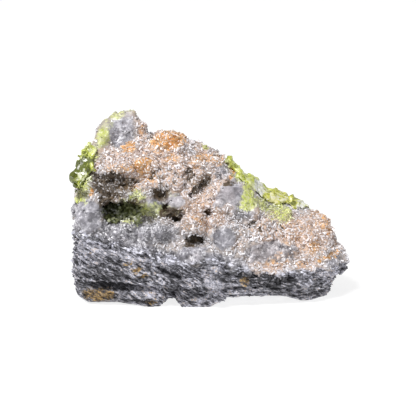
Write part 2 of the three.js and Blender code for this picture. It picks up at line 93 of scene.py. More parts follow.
class Noise:
    """Repeatable gradient and cell noise, worked out for whole arrays of points."""

    # Length of the tables of random numbers, a power of two.
    TABLE = 4096
    # Bring gradient noise, alone and in layers, to about -1 to 1.
    GAIN = 1.6
    LAYERED_GAIN = 1.4
    # Each layer of the layered noise is finer by this, and is shifted so that no two line up.
    LAYERS = 4
    FINER = 2.1
    SHIFT = 17.3
    # Farther than any cell centre can be, in spacings.
    FAR = 9.0

    def __init__(self, seed: int) -> None:
        """Draws the tables of random numbers.

        Args:
            seed: Fixes every value that this noise gives.
        """
        source = np.random.default_rng(seed)
        arrows = source.normal(size=(self.TABLE, 3))
        self._order = source.permutation(self.TABLE)
        self._arrows = arrows / np.linalg.norm(arrows, axis=1, keepdims=True)
        self._spots = source.random((self.TABLE, 3))

    def _pick(self, cells: np.ndarray) -> np.ndarray:
        """Table rows for cells of the integer grid.

        Args:
            cells: Whole numbers as rows of x, y, z.

        Returns:
            One row number for each cell.
        """
        mask = self.TABLE - 1
        first = self._order[cells[:, 0] & mask]
        second = self._order[(first + cells[:, 1]) & mask]
        return self._order[(second + cells[:, 2]) & mask]

    def smooth(self, points: Points, wave: float | Triple = 1.0) -> Values:
        """Gradient noise.

        Args:
            points: Places as rows of x, y, z.
            wave: Spacing of the noise, the same or one for each axis.

        Returns:
            One value for each point, about -1 to 1.
        """
        places = points / np.asarray(wave, dtype=float)
        base = np.floor(places).astype(int)
        part = places - base
        fade = part**3 * (part * (part * 6 - 15) + 10)
        total = np.zeros(len(places))
        for corner in product((0, 1), repeat=3):
            step = np.array(corner)
            weight = np.prod(np.where(step == 1, fade, 1 - fade), axis=1)
            arrows = self._arrows[self._pick(base + step)]
            total += weight * np.einsum("ij,ij->i", arrows, part - step)
        return total * self.GAIN

    def layered(self, points: Points, wave: float) -> Values:
        """Gradient noise with finer and weaker layers on it, about -1 to 1.

        Args:
            points: Places as rows of x, y, z.
            wave: Spacing of the widest layer.

        Returns:
            One value for each point.
        """
        layers = [
            self.smooth(points + self.SHIFT * k, wave / self.FINER**k) * 0.5**k
            for k in range(self.LAYERS)
        ]
        return sum(layers) / self.LAYERED_GAIN

    def strayed(self, points: Points, layers: Iterable[tuple[float, float]]) -> Points:
        """Points pushed about, so that what is read at them gets a ragged edge.

        Args:
            points: Places as rows of x, y, z.
            layers: Reach and spacing of each layer of the push.

        Returns:
            The pushed places.
        """
        push = sum(reach * self.smooth(points, wave) for reach, wave in layers)
        return points + push[:, None]

    def cells(self, points: Points, wave: float) -> tuple[Values, Values, Points, Points]:
        """Cell noise: each point belongs to the nearest of scattered cell centres.

        Args:
            points: Places as rows of x, y, z.
            wave: Spacing of the cells.

        Returns:
            Distances to the nearest and second nearest centre in spacings, the way from the nearest
            centre in spacings, and a random direction for each point's cell.
        """
        places = points / wave
        base = np.floor(places).astype(int)
        nearest = np.full(len(places), self.FAR)
        second = np.full(len(places), self.FAR)
        away = np.zeros_like(places)
        arrows = np.zeros_like(places)
        for corner in product((-1, 0, 1), repeat=3):
            cell = base + np.array(corner)
            row = self._pick(cell)
            gap = places - (cell + self._spots[row])
            distance = np.linalg.norm(gap, axis=1)
            closer = distance < nearest
            second = np.where(closer, nearest, np.minimum(second, distance))
            nearest = np.where(closer, distance, nearest)
            away[closer] = gap[closer]
            arrows[closer] = self._arrows[row[closer]]
        return nearest, second, away, arrows


def eased(values: Values, low: float | Values, high: float) -> Values:
    """A smooth step from 0 at low to 1 at high; low may be the greater."""
    share = np.clip((values - low) / (high - low), 0.0, 1.0)
    return share * share * (3 - 2 * share)


def facets(noise: Noise, points: Points, wave: float) -> Values:
    """Flat crystal faces: each cell is a plane with a tilt of its own, about -0.6 to 0.6."""
    _, _, away, arrows = noise.cells(points, wave)
    return np.einsum("ij,ij->i", away, arrows)


# ---- Patches -----------------------------------------------------------------------------------


@dataclass(frozen=True)
class Patch:
    """A named patch on the surface: its middle, its reach along X and Z, and its strength.

    The depth is its reach along Y. In the tables of reliefs the strength is in millimetres.
    """

    name: str
    middle: Triple
    reach: tuple[float, float]
    strength: float = 1.0
    depth: float = 9.0

    # Where a patch begins and where it is whole, as shares of its reach.
    RIM = (1.3, 0.6)

    def cover(self, points: Points) -> Values:
        """How fully the patch covers each point, from 0 to its strength.

        Args:
            points: Places as rows of x, y, z.

        Returns:
            One value for each point.
        """
        reach = np.array([self.reach[0], self.depth, self.reach[1]])
        distance = np.linalg.norm((points - np.array(self.middle)) / reach, axis=1)
        return self.strength * eased(distance, *self.RIM)


def covered(patches: Iterable[Patch], points: Points) -> Values:
    """How fully several patches together cover each point, from 0 to 1.

    Args:
        patches: The patches.
        points: Places as rows of x, y, z.

    Returns:
        One value for each point.
    """
    bare = np.ones(len(points))
    for patch in patches:
        bare *= 1 - np.clip(patch.cover(points), 0, 1)
    return 1 - bare


def relief(features: Iterable[Patch], points: Points) -> Values:
    """How far named features raise or sink each point, in millimetres."""
    return sum(feature.cover(points) for feature in features)


# Reach and spacing of the layers of stray that give patches a ragged edge: on quartz and crust, in
# the quartz's relief, on the gneiss, and along its foot.
RAGGED = ((1.1, 2.6), (0.5, 0.9))
RAGGED_RELIEF = ((1.8, 3.6), (1.0, 1.7))
RAGGED_ROCK = ((0.9, 2.2),)
RAGGED_FOOT = ((0.8, 3.0),)

# Iron stain on the quartz, from the ridge down to the right tip.
IRON = (
    Patch("orange ridge", (-13.0, -3.5, 52.4), (6.4, 3.2), 0.7),
    Patch("deep orange on the ridge", (-12.6, -6.3, 51.2), (2.6, 2.0), 0.95),
    Patch("left flank of the ridge", (-17.8, -5.5, 51.0), (3.6, 3.0), 0.5),
    Patch("red-orange spot", (-27.0, -5.8, 49.6), (2.8, 1.5), 0.75),
    Patch("ochre lumps", (-26.5, -16.0, 38.2), (3.8, 1.3), 0.55),
    Patch("red-brown fleck", (-38.5, -13.0, 36.8), (0.9, 1.3), 1.0),
    Patch("rust nodule", (-22.2, -11.2, 45.4), (3.0, 2.4), 0.85),
    Patch("below the nodule", (-20.0, -12.5, 41.8), (3.8, 2.8), 0.5),
    Patch("ochre hollow", (-12.9, -7.6, 46.1), (2.4, 1.6), 0.6),
    Patch("below the grey shoulder", (-3.6, -3.6, 45.1), (3.8, 2.2), 0.55),
    Patch("flecks on the peak", (-22.0, 1.3, 55.2), (1.4, 2.8), 0.35),
    Patch("spot on the pale wall", (7.0, 1.9, 40.4), (1.3, 1.2), 1.0),
    Patch("rim of the eaves", (-29.0, -14.5, 44.0), (6.0, 1.4), 0.5),
    Patch("middle, left", (-4.0, -15.5, 31.0), (4.0, 4.5), 0.14),
    Patch("middle, low", (-5.7, -19.9, 26.9), (4.4, 2.2), 0.3),
    Patch("slope, left", (14.3, -12.8, 24.3), (6.4, 2.4), 0.14),
    Patch("slope, middle", (29.2, -7.6, 21.8), (9.0, 5.0), 0.22, 12.0),
    Patch("slope, edge", (38.4, 0.3, 23.4), (3.4, 3.4), 0.4),
    Patch("slope, upper edge", (36.4, 5.0, 27.6), (4.2, 3.6), 0.42, 14.0),
    Patch("below the right shoulder", (2.6, -3.0, 45.4), (3.6, 2.6), 0.42),
    Patch("beside the pale wall", (8.6, 0.0, 43.6), (1.4, 2.0), 0.5),
    Patch("orange drop", (38.7, -3.9, 20.6), (1.1, 0.8), 1.0),
    Patch("red-brown spot", (33.7, -10.3, 17.4), (1.9, 2.2), 0.55),
    Patch("right tip", (42.1, -4.8, 15.6), (2.8, 2.8), 0.4),
    Patch("line on the contact", (38.2, -12.6, 14.0), (4.2, 0.8), 0.75),
    Patch("low blotches", (24.0, -15.6, 15.0), (4.6, 2.2), 0.25),
    Patch("low blotch, left", (19.2, -16.6, 14.0), (2.6, 1.4), 0.32),
    Patch("low blotch, right", (29.2, -15.0, 12.4), (2.2, 1.1), 0.28),
)
# Warm pink to beige film on the druse.
BLUSH = (
    Patch("main druse", (-18.1, -10.0, 45.0), (17.0, 9.0), 0.75),
    Patch("middle druse", (0.0, -13.5, 36.0), (10.0, 12.0), 0.6, 12.0),
    Patch("shoulder on the right", (6.0, -1.0, 43.5), (6.0, 5.0), 0.6),
    Patch("lilac shoulder", (-1.5, 0.3, 49.5), (5.0, 3.2), 0.7),
    Patch("left shoulder", (-35.0, -9.0, 46.2), (5.6, 4.6), 0.55),
    Patch("right edge", (39.0, 6.0, 24.0), (6.0, 8.0), 0.8, 14.0),
    Patch("low right quartz", (20.0, -15.5, 17.0), (9.6, 4.0), 0.75),
    Patch("beige lumps", (-5.0, -16.5, 28.5), (9.0, 5.5), 0.5),
    Patch("right druse", (28.0, -7.0, 22.0), (17.0, 8.0), 0.8, 14.0),
    Patch("pale lump", (-4.4, -21.5, 16.0), (4.6, 2.2), 0.4),
)
# White sugary druse, clean of stains.
WHITE = (
    Patch("middle of the front", (-14.5, -10.0, 41.5), (6.0, 3.8), 0.65),
    Patch("rim of the peak", (-20.5, 0.0, 53.5), (2.2, 3.4), 0.75),
    Patch("smooth knob", (-11.3, -15.5, 32.8), (2.8, 1.6), 0.3, 5.0),
    Patch("pink wall", (8.6, -1.0, 41.0), (2.8, 2.8), 0.9),
    Patch("lower edge of the eaves", (-18.0, -14.0, 39.4), (4.0, 1.8), 0.5),
    Patch("above the pits", (-1.0, -8.0, 43.0), (4.4, 2.4), 0.4),
    Patch("beside the shoulder", (-36.0, -11.0, 46.6), (3.6, 3.2), 0.35),
    Patch("middle, right", (4.0, -14.0, 30.5), (3.4, 2.8), 0.5),
    Patch("slope", (20.0, -11.5, 23.6), (7.0, 3.0), 0.7),
    Patch("end of the slope", (35.0, 4.0, 26.0), (3.0, 2.4), 0.5),
    Patch("foot of the slope", (33.0, -10.0, 14.5), (5.0, 1.6), 0.2),
)
# Clear to lilac-grey quartz without druse.
GLASSY = (
    Patch("peak", (-29.2, -0.6, 54.4), (5.4, 5.6), 0.7),
    Patch("under the peak", (-31.0, -5.6, 51.0), (2.8, 2.2), 0.7),
    Patch("lilac wall", (6.8, -10.2, 35.0), (4.6, 3.8), 1.0),
    Patch("pale wall", (3.6, -4.1, 41.8), (2.8, 2.6), 0.75),
    Patch("smooth knob", (-11.6, -15.5, 33.8), (4.0, 2.6), 1.0, 5.0),
    Patch("round knob", (2.9, -14.0, 33.5), (2.0, 2.0), 0.8),
    Patch("pale side of the vug", (-18.3, -16.0, 31.6), (3.8, 3.8), 0.8),
    Patch("grey boulder", (4.2, -18.4, 22.3), (4.4, 3.8), 0.95),
    Patch("below the slope", (10.4, -12.0, 29.5), (5.0, 3.0), 0.6),
    Patch("low right quartz", (19.5, -15.2, 17.0), (9.6, 3.6), 0.95),
    Patch("left lump", (-40.5, -16.0, 29.4), (6.0, 6.0), 0.85, 13.0),
    Patch("band over the gneiss", (-26.0, -17.2, 23.4), (19.0, 4.6), 0.75),
    Patch("pale lump", (-5.4, -21.3, 17.4), (5.6, 3.0), 0.85),
    Patch("grey shoulder", (0.4, -0.9, 47.0), (2.2, 2.1), 0.5),
    Patch("lilac shoulder", (-4.2, 0.3, 50.0), (3.6, 2.2), 0.25),
    Patch("pink wall", (8.6, -1.0, 40.8), (3.0, 2.8), 0.75),
    Patch("right tip", (40.3, -9.0, 12.6), (3.4, 1.8), 0.7),
)
# Worn or unbroken quartz, without facets.
SMOOTH = (
    Patch("lilac wall", (6.8, -10.2, 35.2), (4.2, 3.6), 1.0),
    Patch("smooth knob", (-11.6, -15.5, 33.8), (4.2, 2.8), 1.0, 5.0),
    Patch("round knob", (2.9, -14.0, 33.5), (2.0, 2.0), 0.8),
    Patch("pink wall", (8.6, -1.0, 40.8), (2.8, 2.6), 0.7),
    Patch("grey boulder", (4.2, -18.4, 22.3), (4.4, 3.8), 0.7),
    Patch("pale lump", (-5.4, -21.3, 17.4), (5.6, 3.0), 0.6),
    Patch("peak", (-29.6, -0.6, 54.4), (5.0, 6.4), 0.5),
    Patch("left edge of the peak", (-33.6, -1.0, 57.0), (3.4, 3.6), 0.8),
    Patch("top of the peak", (-28.0, 1.0, 60.0), (5.0, 2.6), 0.7),
    Patch("pale side of the vug", (-18.3, -16.0, 31.6), (3.8, 3.8), 0.8),
    Patch("left lump", (-39.5, -17.6, 29.2), (5.0, 4.6), 0.6),
    Patch("low right quartz", (18.0, -16.0, 17.5), (7.0, 2.8), 0.4),
    Patch("left side of the peak", (-35.6, -4.3, 52.4), (3.4, 4.6), 0.8),
    Patch("green slope", (14.0, -6.0, 33.0), (6.0, 5.0), 0.7),
)
# Green crystals and film on the front of the quartz.
GREEN = (
    Patch("left side of the peak", (-35.6, -4.3, 52.4), (2.8, 3.4), 0.72),
    Patch("left edge of the peak", (-34.2, -1.5, 56.0), (2.8, 3.8), 0.42),
    Patch("left shoulder", (-38.6, -9.0, 47.6), (2.8, 3.0), 0.55),
    Patch("inside the left edge", (-40.6, -10.0, 43.0), (2.6, 5.6), 0.75),
    Patch("foot of the left edge", (-40.6, -12.0, 38.4), (2.4, 1.8), 0.8),
    Patch("top of the peak, left", (-31.0, 3.1, 60.0), (3.2, 2.2), 0.55),
    Patch("top of the peak, right", (-26.0, 3.1, 60.4), (2.6, 1.3), 0.4),
    Patch("slope, top", (9.0, -1.5, 38.6), (3.0, 4.0), 0.6, 4.0),
    Patch("slope, left", (12.4, -7.6, 34.6), (2.4, 4.0), 0.95),
    Patch("slope, foot", (11.7, -9.4, 31.6), (3.0, 2.4), 0.7),
    Patch("slope, middle", (17.5, -3.5, 31.0), (4.6, 2.6), 0.6),
    Patch("slope, olive", (23.5, -3.4, 28.4), (6.8, 3.6), 0.7),
    Patch("vug", (-26.8, -12.5, 31.2), (6.4, 5.0), 0.9),
    Patch("over the vug, right", (-23.5, -15.0, 35.6), (3.4, 2.2), 0.55),
    Patch("right of the vug", (-19.0, -15.0, 30.6), (4.0, 3.6), 0.5),
    Patch("hollow under the knob", (-12.9, -14.2, 30.6), (3.8, 2.4), 0.4),
    Patch("over the knob", (-12.4, -13.9, 35.6), (2.4, 1.3), 0.35),
    Patch("spot on the shoulder", (-0.9, 3.4, 49.2), (1.4, 1.2), 1.0),
    Patch("bar at the left edge", (-42.2, -12.5, 33.4), (3.0, 0.8), 0.9),
    Patch("under the left edge", (-42.0, -12.0, 35.6), (3.0, 1.9), 0.9),
    Patch("left side", (-41.5, -12.5, 40.5), (1.6, 3.4), 0.5),
)
# Darker green among it; on the vug it is painted shade.
DEEP_GREEN = (
    Patch("left side of the peak", (-35.6, -4.3, 52.6), (3.6, 4.6), 0.36),
    Patch("left edge", (-43.0, -8.0, 43.5), (2.6, 5.0), 0.8),
    Patch("under the left edge", (-42.0, -12.0, 35.6), (3.4, 1.7), 1.0),
    Patch("vug", (-28.0, -12.5, 33.0), (6.0, 3.0), 0.8),
)
# Brown earth in the holes and pits, and painted shade under the eaves, on the shaded front and in
# the vug.
EARTH_AND_SHADE = (
    Patch("roof of the window", (-5.6, -13.0, 21.0), (3.8, 1.9), 1.0),
    Patch("hole", (-11.0, -12.8, 27.6), (1.8, 1.2), 1.0),
    Patch("hollow under the knob", (-12.9, -14.0, 29.8), (4.2, 2.4), 1.0),
    Patch("crease left of the knob", (-16.4, -13.7, 36.1), (3.4, 2.4), 0.8),
    Patch("beside the knob", (-15.0, -14.5, 33.8), (1.6, 1.6), 0.5),
    Patch("under the eaves, middle", (-31.3, -15.3, 42.2), (3.0, 1.6), 1.0),
    Patch("under the eaves, left", (-35.5, -17.0, 40.6), (4.0, 2.0), 0.7),
    Patch("under the eaves, edge", (-37.9, -13.1, 41.9), (1.5, 1.2), 0.7),
    Patch("under the eaves, right", (-25.0, -17.0, 39.8), (5.0, 1.2), 0.7),
    Patch("shaded front", (-31.5, -17.5, 38.4), (8.0, 3.8), 0.72),
    Patch("vug, left end", (-33.3, -15.0, 32.8), (3.6, 3.2), 0.9),
    Patch("vug, roof", (-26.5, -12.5, 33.2), (7.0, 1.8), 0.85),
    Patch("pit, upper", (-7.1, -9.8, 42.2), (1.5, 1.1), 0.8),
    Patch("pit, right", (-1.9, -9.4, 38.5), (1.8, 1.2), 0.7),
    Patch("pit, lower", (-5.2, -9.3, 36.2), (1.5, 1.4), 0.9),
    Patch("pit, low", (-1.3, -12.3, 29.2), (1.3, 1.3), 0.8),
    Patch("pit, slope", (13.4, -12.0, 25.4), (1.0, 0.9), 0.8),
    Patch("crack in the pale wall", (6.2, -7.9, 38.3), (2.4, 0.6), 1.0),
    Patch("behind the nodules", (-4.0, -9.5, 39.5), (6.0, 2.8), 0.58),
    Patch("under the pale lump", (-3.4, -22.0, 14.4), (4.4, 1.0), 0.6),
    Patch("red-brown spot", (33.7, -10.3, 17.4), (1.6, 1.8), 0.4),
    Patch("line on the contact", (38.2, -12.6, 14.0), (3.6, 0.7), 0.4),
)
# Where the quartz grades into the gneiss, away from the contact itself.
ROCKY = (
    Patch("over the contact on the right", (28.0, -16.0, 10.2), (9.0, 1.7), 0.85, 12.0),
)
# How far places on the quartz stand out, or lie back where it is negative, in millimetres.
QUARTZ_RELIEF = (
    Patch("top of the peak", (-28.0, 3.0, 60.6), (4.6, 1.8), 0.7, 12.0),
    Patch("crest of the ridge", (-12.6, -2.5, 56.0), (3.4, 1.8), -1.8, 12.0),
    Patch("left of the ridge", (-20.0, 0.0, 54.0), (2.6, 1.6), -0.9),
    Patch("right of the ridge", (-6.6, -1.0, 54.0), (3.0, 2.2), -1.4, 12.0),
    Patch("shoulder of the ridge", (-15.6, -1.0, 55.2), (2.0, 1.6), -0.9, 12.0),
    Patch("right tip", (44.2, -3.0, 18.6), (3.0, 3.0), -2.4, 14.0),
    Patch("beside the green slope", (13.5, -6.5, 35.5), (5.0, 4.5), 0.9),
    Patch("end of the green slope", (26.0, 6.0, 31.0), (4.0, 2.0), -0.8),
    Patch("eaves", (-29.5, -13.5, 45.2), (8.0, 2.4), 1.4),
    Patch("eaves, right", (-22.0, -13.5, 42.8), (4.0, 1.8), 1.2),
    Patch("under the eaves, middle", (-31.0, -15.3, 41.6), (4.0, 1.3), -2.2),
    Patch("under the eaves, left", (-35.8, -16.5, 40.4), (3.6, 1.8), -1.9),
    Patch("under the eaves, right", (-25.0, -17.0, 39.6), (4.6, 0.9), -1.6),
    Patch("shaded front", (-31.0, -17.5, 37.2), (8.0, 2.6), -0.8),
    Patch("lip", (-26.5, -18.0, 36.9), (3.0, 1.4), 0.9),
    Patch("crease left of the knob", (-16.4, -13.7, 36.1), (2.6, 1.6), -1.8),
    Patch("hole", (-11.0, -12.8, 27.6), (1.5, 1.0), -2.5),
    Patch("pit, upper", (-7.1, -9.8, 42.2), (1.4, 0.7), -2.0),
    Patch("pit, right", (-1.9, -9.4, 38.5), (1.6, 0.8), -1.8),
    Patch("pit, lower", (-5.2, -9.3, 36.2), (0.9, 1.2), -2.2),
    Patch("pit, low", (-1.3, -12.3, 29.2), (1.0, 1.2), -1.8),
    Patch("pit, slope", (13.4, -12.0, 25.4), (0.7, 0.8), -1.6),
    Patch("crack in the pale wall", (6.2, -7.9, 38.3), (2.4, 0.5), -1.2),
    Patch("rust nodule", (-22.2, -11.2, 45.6), (2.8, 2.2), 1.0),
    Patch("under the smooth knob", (-12.9, -14.2, 30.4), (3.8, 1.8), -1.4),
    Patch("right shoulder", (1.4, 3.0, 50.4), (3.4, 2.4), -2.6, 12.0),
    Patch("left edge, over the contact", (-44.6, -10.0, 24.6), (3.0, 5.2), -1.6, 16.0),
    Patch("left edge of the peak", (-35.0, 0.0, 56.6), (3.0, 3.0), 1.0, 14.0),
    Patch("end of the slope", (36.4, 6.0, 28.2), (3.2, 3.0), 1.3, 16.0),
    Patch("under the green slope", (23.0, -1.5, 31.2), (6.0, 1.6), 1.3),
)
# How far the quartz is lowered, in millimetres.
QUARTZ_DROP = (
    Patch("right of the ridge", (-6.5, -1.0, 55.0), (3.2, 4.0), 1.6, 14.0),
    Patch("under the slope, middle", (20.6, 4.0, 37.0), (2.6, 4.0), 1.3, 20.0),
    Patch("under the slope, end", (28.5, 4.0, 32.0), (3.0, 4.0), 0.9, 20.0),
)
# Smooth lumps of quartz, by how far they stand out, in millimetres.
QUARTZ_LUMPS = (
    Patch("smooth knob", (-11.8, -15.5, 33.0), (3.8, 1.9), 2.1, 5.0),
    Patch("grey boulder", (4.2, -18.4, 22.3), (4.4, 3.8), 1.1),
    Patch("pale lump", (-5.4, -21.3, 17.4), (5.4, 2.8), 0.6),
    Patch("round knob", (2.9, -14.0, 33.5), (2.0, 2.0), 0.8),
    Patch("left lump", (-38.0, -17.6, 28.0), (5.0, 4.4), 0.5),
)
# Rust on the gneiss.
ROCK_RUST = (
    Patch("left foot", (-36.6, -20.5, 3.4), (6.4, 2.6), 0.8),
    Patch("gilt edge of the foot", (-19.6, -20.8, 1.5), (2.6, 0.8), 0.8),
    Patch("streak, left", (-27.0, -21.6, 14.0), (1.5, 0.5), 0.7),
    Patch("streak, middle", (-24.0, -22.4, 12.5), (1.5, 0.6), 0.8),
    Patch("streak, right", (-21.6, -23.4, 10.8), (1.6, 0.6), 0.8),
    Patch("spot in the middle", (11.2, -20.8, 9.0), (1.8, 1.7), 0.75),
)
# Pale, fresh gneiss, and gneiss that the quartz grades into.
ROCK_PALE = (
    Patch("slab at the foot", (-21.5, -21.0, 5.2), (5.4, 2.6), 0.75),
    Patch("under the quartz, left", (-33.0, -18.0, 18.0), (14.0, 4.4), 0.9),
    Patch("middle of the left part", (-26.0, -21.0, 13.5), (6.0, 2.4), 0.6),
    Patch("bulge", (1.0, -22.7, 10.0), (3.6, 5.8), 0.85),
    Patch("ledge at the foot", (11.3, -21.7, 4.8), (6.0, 1.5), 0.9),
    Patch("right end", (36.2, -12.0, 9.4), (5.0, 2.4), 0.55, 12.0),
    Patch("under the tip", (41.4, -9.0, 8.6), (4.0, 2.0), 1.0, 14.0),
)
# Dark, micaceous and shaded gneiss.
ROCK_DARK = (
    Patch("left band", (-34.0, -22.1, 10.4), (9.0, 1.8), 0.6),
    Patch("above the foot", (-34.0, -20.0, 6.6), (11.0, 1.6), 0.5),
    Patch("middle band", (-13.0, -21.7, 12.0), (6.0, 2.4), 0.6),
    Patch("under the pale lump, left", (-14.5, -19.5, 17.4), (4.4, 1.5), 1.0),
    Patch("under the pale lump", (-5.0, -22.3, 13.4), (5.0, 1.4), 0.9),
    Patch("beside the notch", (-14.0, -21.7, 5.4), (3.4, 1.6), 0.4),
    Patch("recess on the right", (22.0, -19.0, 8.2), (6.0, 3.6), 1.0),
    Patch("beside the bulge", (8.6, -20.0, 11.6), (6.2, 2.6), 0.95),
    Patch("corner on the right", (31.0, -16.0, 4.0), (3.6, 2.0), 0.5),
    Patch("right tip", (42.6, -9.5, 11.9), (4.0, 1.5), 1.0, 14.0),
    Patch("left edge", (-43.2, -18.5, 22.4), (2.4, 1.3), 0.8),
)
# Beige quartz that reaches down over the gneiss.
ROCK_BEIGE = (
    Patch("right tip", (42.5, -8.0, 15.2), (6.0, 2.8), 1.0, 14.0),
    Patch("right of the middle", (29.0, -14.0, 14.4), (8.0, 1.3), 0.8),
)
# How far places on the gneiss stand out, or lie back where it is negative, in millimetres.
ROCK_RELIEF = (
    Patch("under the pale lump, left", (-13.8, -19.5, 17.0), (5.0, 1.2), -1.6),
    Patch("left band", (-30.0, -22.0, 9.6), (14.0, 1.2), -0.7),
    Patch("above the foot", (-36.0, -20.0, 7.2), (8.0, 1.0), -0.6),
    Patch("recess on the right", (19.6, -19.6, 9.6), (7.4, 2.6), -1.4),
    Patch("bulge", (1.0, -22.7, 10.0), (3.2, 5.6), 0.4),
    Patch("ledge at the foot", (10.3, -21.7, 5.0), (6.0, 1.4), 0.9),
    Patch("slab at the foot", (-21.5, -21.0, 5.2), (5.0, 2.2), 0.5),
    Patch("right end", (44.4, -8.0, 6.4), (3.0, 4.0), -2.0, 14.0),
    Patch("left edge, under the contact", (-45.0, -10.0, 21.6), (3.0, 4.4), -1.7, 18.0),
)
# How far the lower edge of the gneiss is lifted off the ground, in millimetres.
ROCK_FOOT = (
    Patch("notch", (-13.2, -23.0, 0.0), (3.0, 1.0), 4.2, 7.0),
    Patch("right of the middle", (11.5, -22.0, 0.0), (9.0, 1.0), 2.9, 6.0),
    Patch("right", (23.0, -20.0, 0.0), (9.0, 1.0), 2.4, 6.0),
    Patch("right end", (43.0, -8.0, 0.0), (4.0, 1.0), 2.4, 9.0),
)
# Whitish parts of the crust.
CRUST_PALE = (
    Patch("left edge, inside", (-41.6, -10.0, 42.0), (2.0, 2.8), 0.4),
    Patch("left edge, up", (-42.8, -8.0, 45.4), (2.0, 1.6), 0.4),
    Patch("left edge of the peak", (-34.6, -1.0, 56.4), (2.8, 3.6), 0.5),
    Patch("vug, lower right", (-21.0, -13.0, 29.5), (3.2, 2.6), 0.35),
    Patch("slope", (16.5, 2.6, 35.0), (2.6, 3.4), 0.85),
    Patch("slope, right", (24.0, 3.0, 32.0), (6.0, 4.0), 0.28),
    Patch("right end of the slope", (31.5, 5.0, 27.0), (2.6, 2.4), 0.7),
)
# Dark green parts of the crust, and painted shade at the vug's left end and roof.
CRUST_DEEP = (
    Patch("left side", (-45.0, -3.0, 41.0), (2.6, 6.0), 0.75, 14.0),
    Patch("left corner", (-45.4, -8.0, 38.8), (2.6, 2.6), 1.0),
    Patch("left edge, low", (-43.0, -11.0, 35.2), (3.0, 1.9), 1.0),
    Patch("left edge, middle", (-42.5, -6.0, 43.0), (3.6, 6.0), 0.66),
    Patch("left edge, inner", (-41.0, -9.5, 41.5), (4.0, 7.4), 0.7, 12.0),
    Patch("amber streak", (-39.4, -10.0, 43.6), (1.3, 3.0), 0.8),
    Patch("low on the slope", (24.0, 1.0, 27.6), (5.4, 1.8), 0.3),
    Patch("vug, left end", (-33.6, -14.5, 33.0), (4.4, 4.6), 1.0),
    Patch("vug, roof", (-27.0, -12.0, 34.0), (7.0, 2.0), 0.9),
)
# How far the crust stands out, or lies back where it is negative, in millimetres.
CRUST_RELIEF = (
    Patch("bulge of the left edge", (-45.0, -6.0, 40.5), (2.0, 3.4), 0.9),
    Patch("side of the left edge", (-44.0, -5.0, 44.0), (2.6, 2.2), 0.8, 12.0),
    Patch("foot of the left edge", (-44.0, -9.0, 36.0), (2.0, 2.0), -0.8),
    Patch("end of the slope", (29.6, 8.0, 29.6), (3.2, 3.0), -1.6, 14.0),
    Patch("slope", (19.0, 4.0, 35.6), (3.6, 3.0), -1.1, 14.0),
)
# How far the crust is lowered, in millimetres.
CRUST_DROP = (
    Patch("shoulder on the left", (-38.0, 0.0, 54.0), (2.0, 3.8), 3.0, 14.0),
    Patch("corner on the left", (-42.6, -5.0, 51.0), (2.6, 3.0), 1.8, 12.0),
    Patch("end of the slope", (29.4, 8.0, 31.0), (2.8, 3.0), 1.3, 14.0),
    Patch("slope, middle", (20.6, 9.0, 36.0), (2.0, 3.0), 2.6, 20.0),
    Patch("slope, upper", (12.6, 8.0, 41.0), (2.0, 3.0), 1.5, 20.0),
)
# Where the crust is more yellow.
CRUST_SUNNY = (
    Patch("slope", (26.0, 0.0, 31.0), (10.0, 6.0), 1.0, 16.0),
)
# Where the crust is glassy, with few crystals on it.
CRUST_GLASSY = (
    Patch("left edge", (-42.0, -8.0, 43.0), (8.0, 13.0), 0.5, 10.0),
    Patch("slope", (20.0, 0.0, 32.0), (18.0, 13.0), 1.0, 16.0),
    Patch("peak", (-33.0, -3.0, 55.0), (6.0, 8.0), 0.8, 10.0),
)


@dataclass(frozen=True)
class Foliation:
    """The layers of the gneiss, which dip to the right: steeply on the left, gently on the right.

    The dips are in degrees, and the turn is the width in which one goes over into the other.
    """

    left: float = 27.0
    right: float = 10.0
    turn: float = 8.0

    def rise(self, x: Any) -> Any:
        """How much higher than at the middle a place lies in the layers.

        Args:
            x: The places' X in millimetres, as an array or as a wire of a graph.

        Returns:
            Millimetres, as an array or a wire.
        """
        steep, gentle = (math.tan(math.radians(angle)) for angle in (self.left, self.right))
        return x * ((steep + gentle) / 2) - (x * x + self.turn**2) ** 0.5 * ((steep - gentle) / 2)


FOLIATION = Foliation()
# The way across the layers on the whole, which plates and blocks of gneiss stand along.
ACROSS_LAYERS = (0.34, 0.0, 1.0)


# ---- Skins -------------------------------------------------------------------------------------


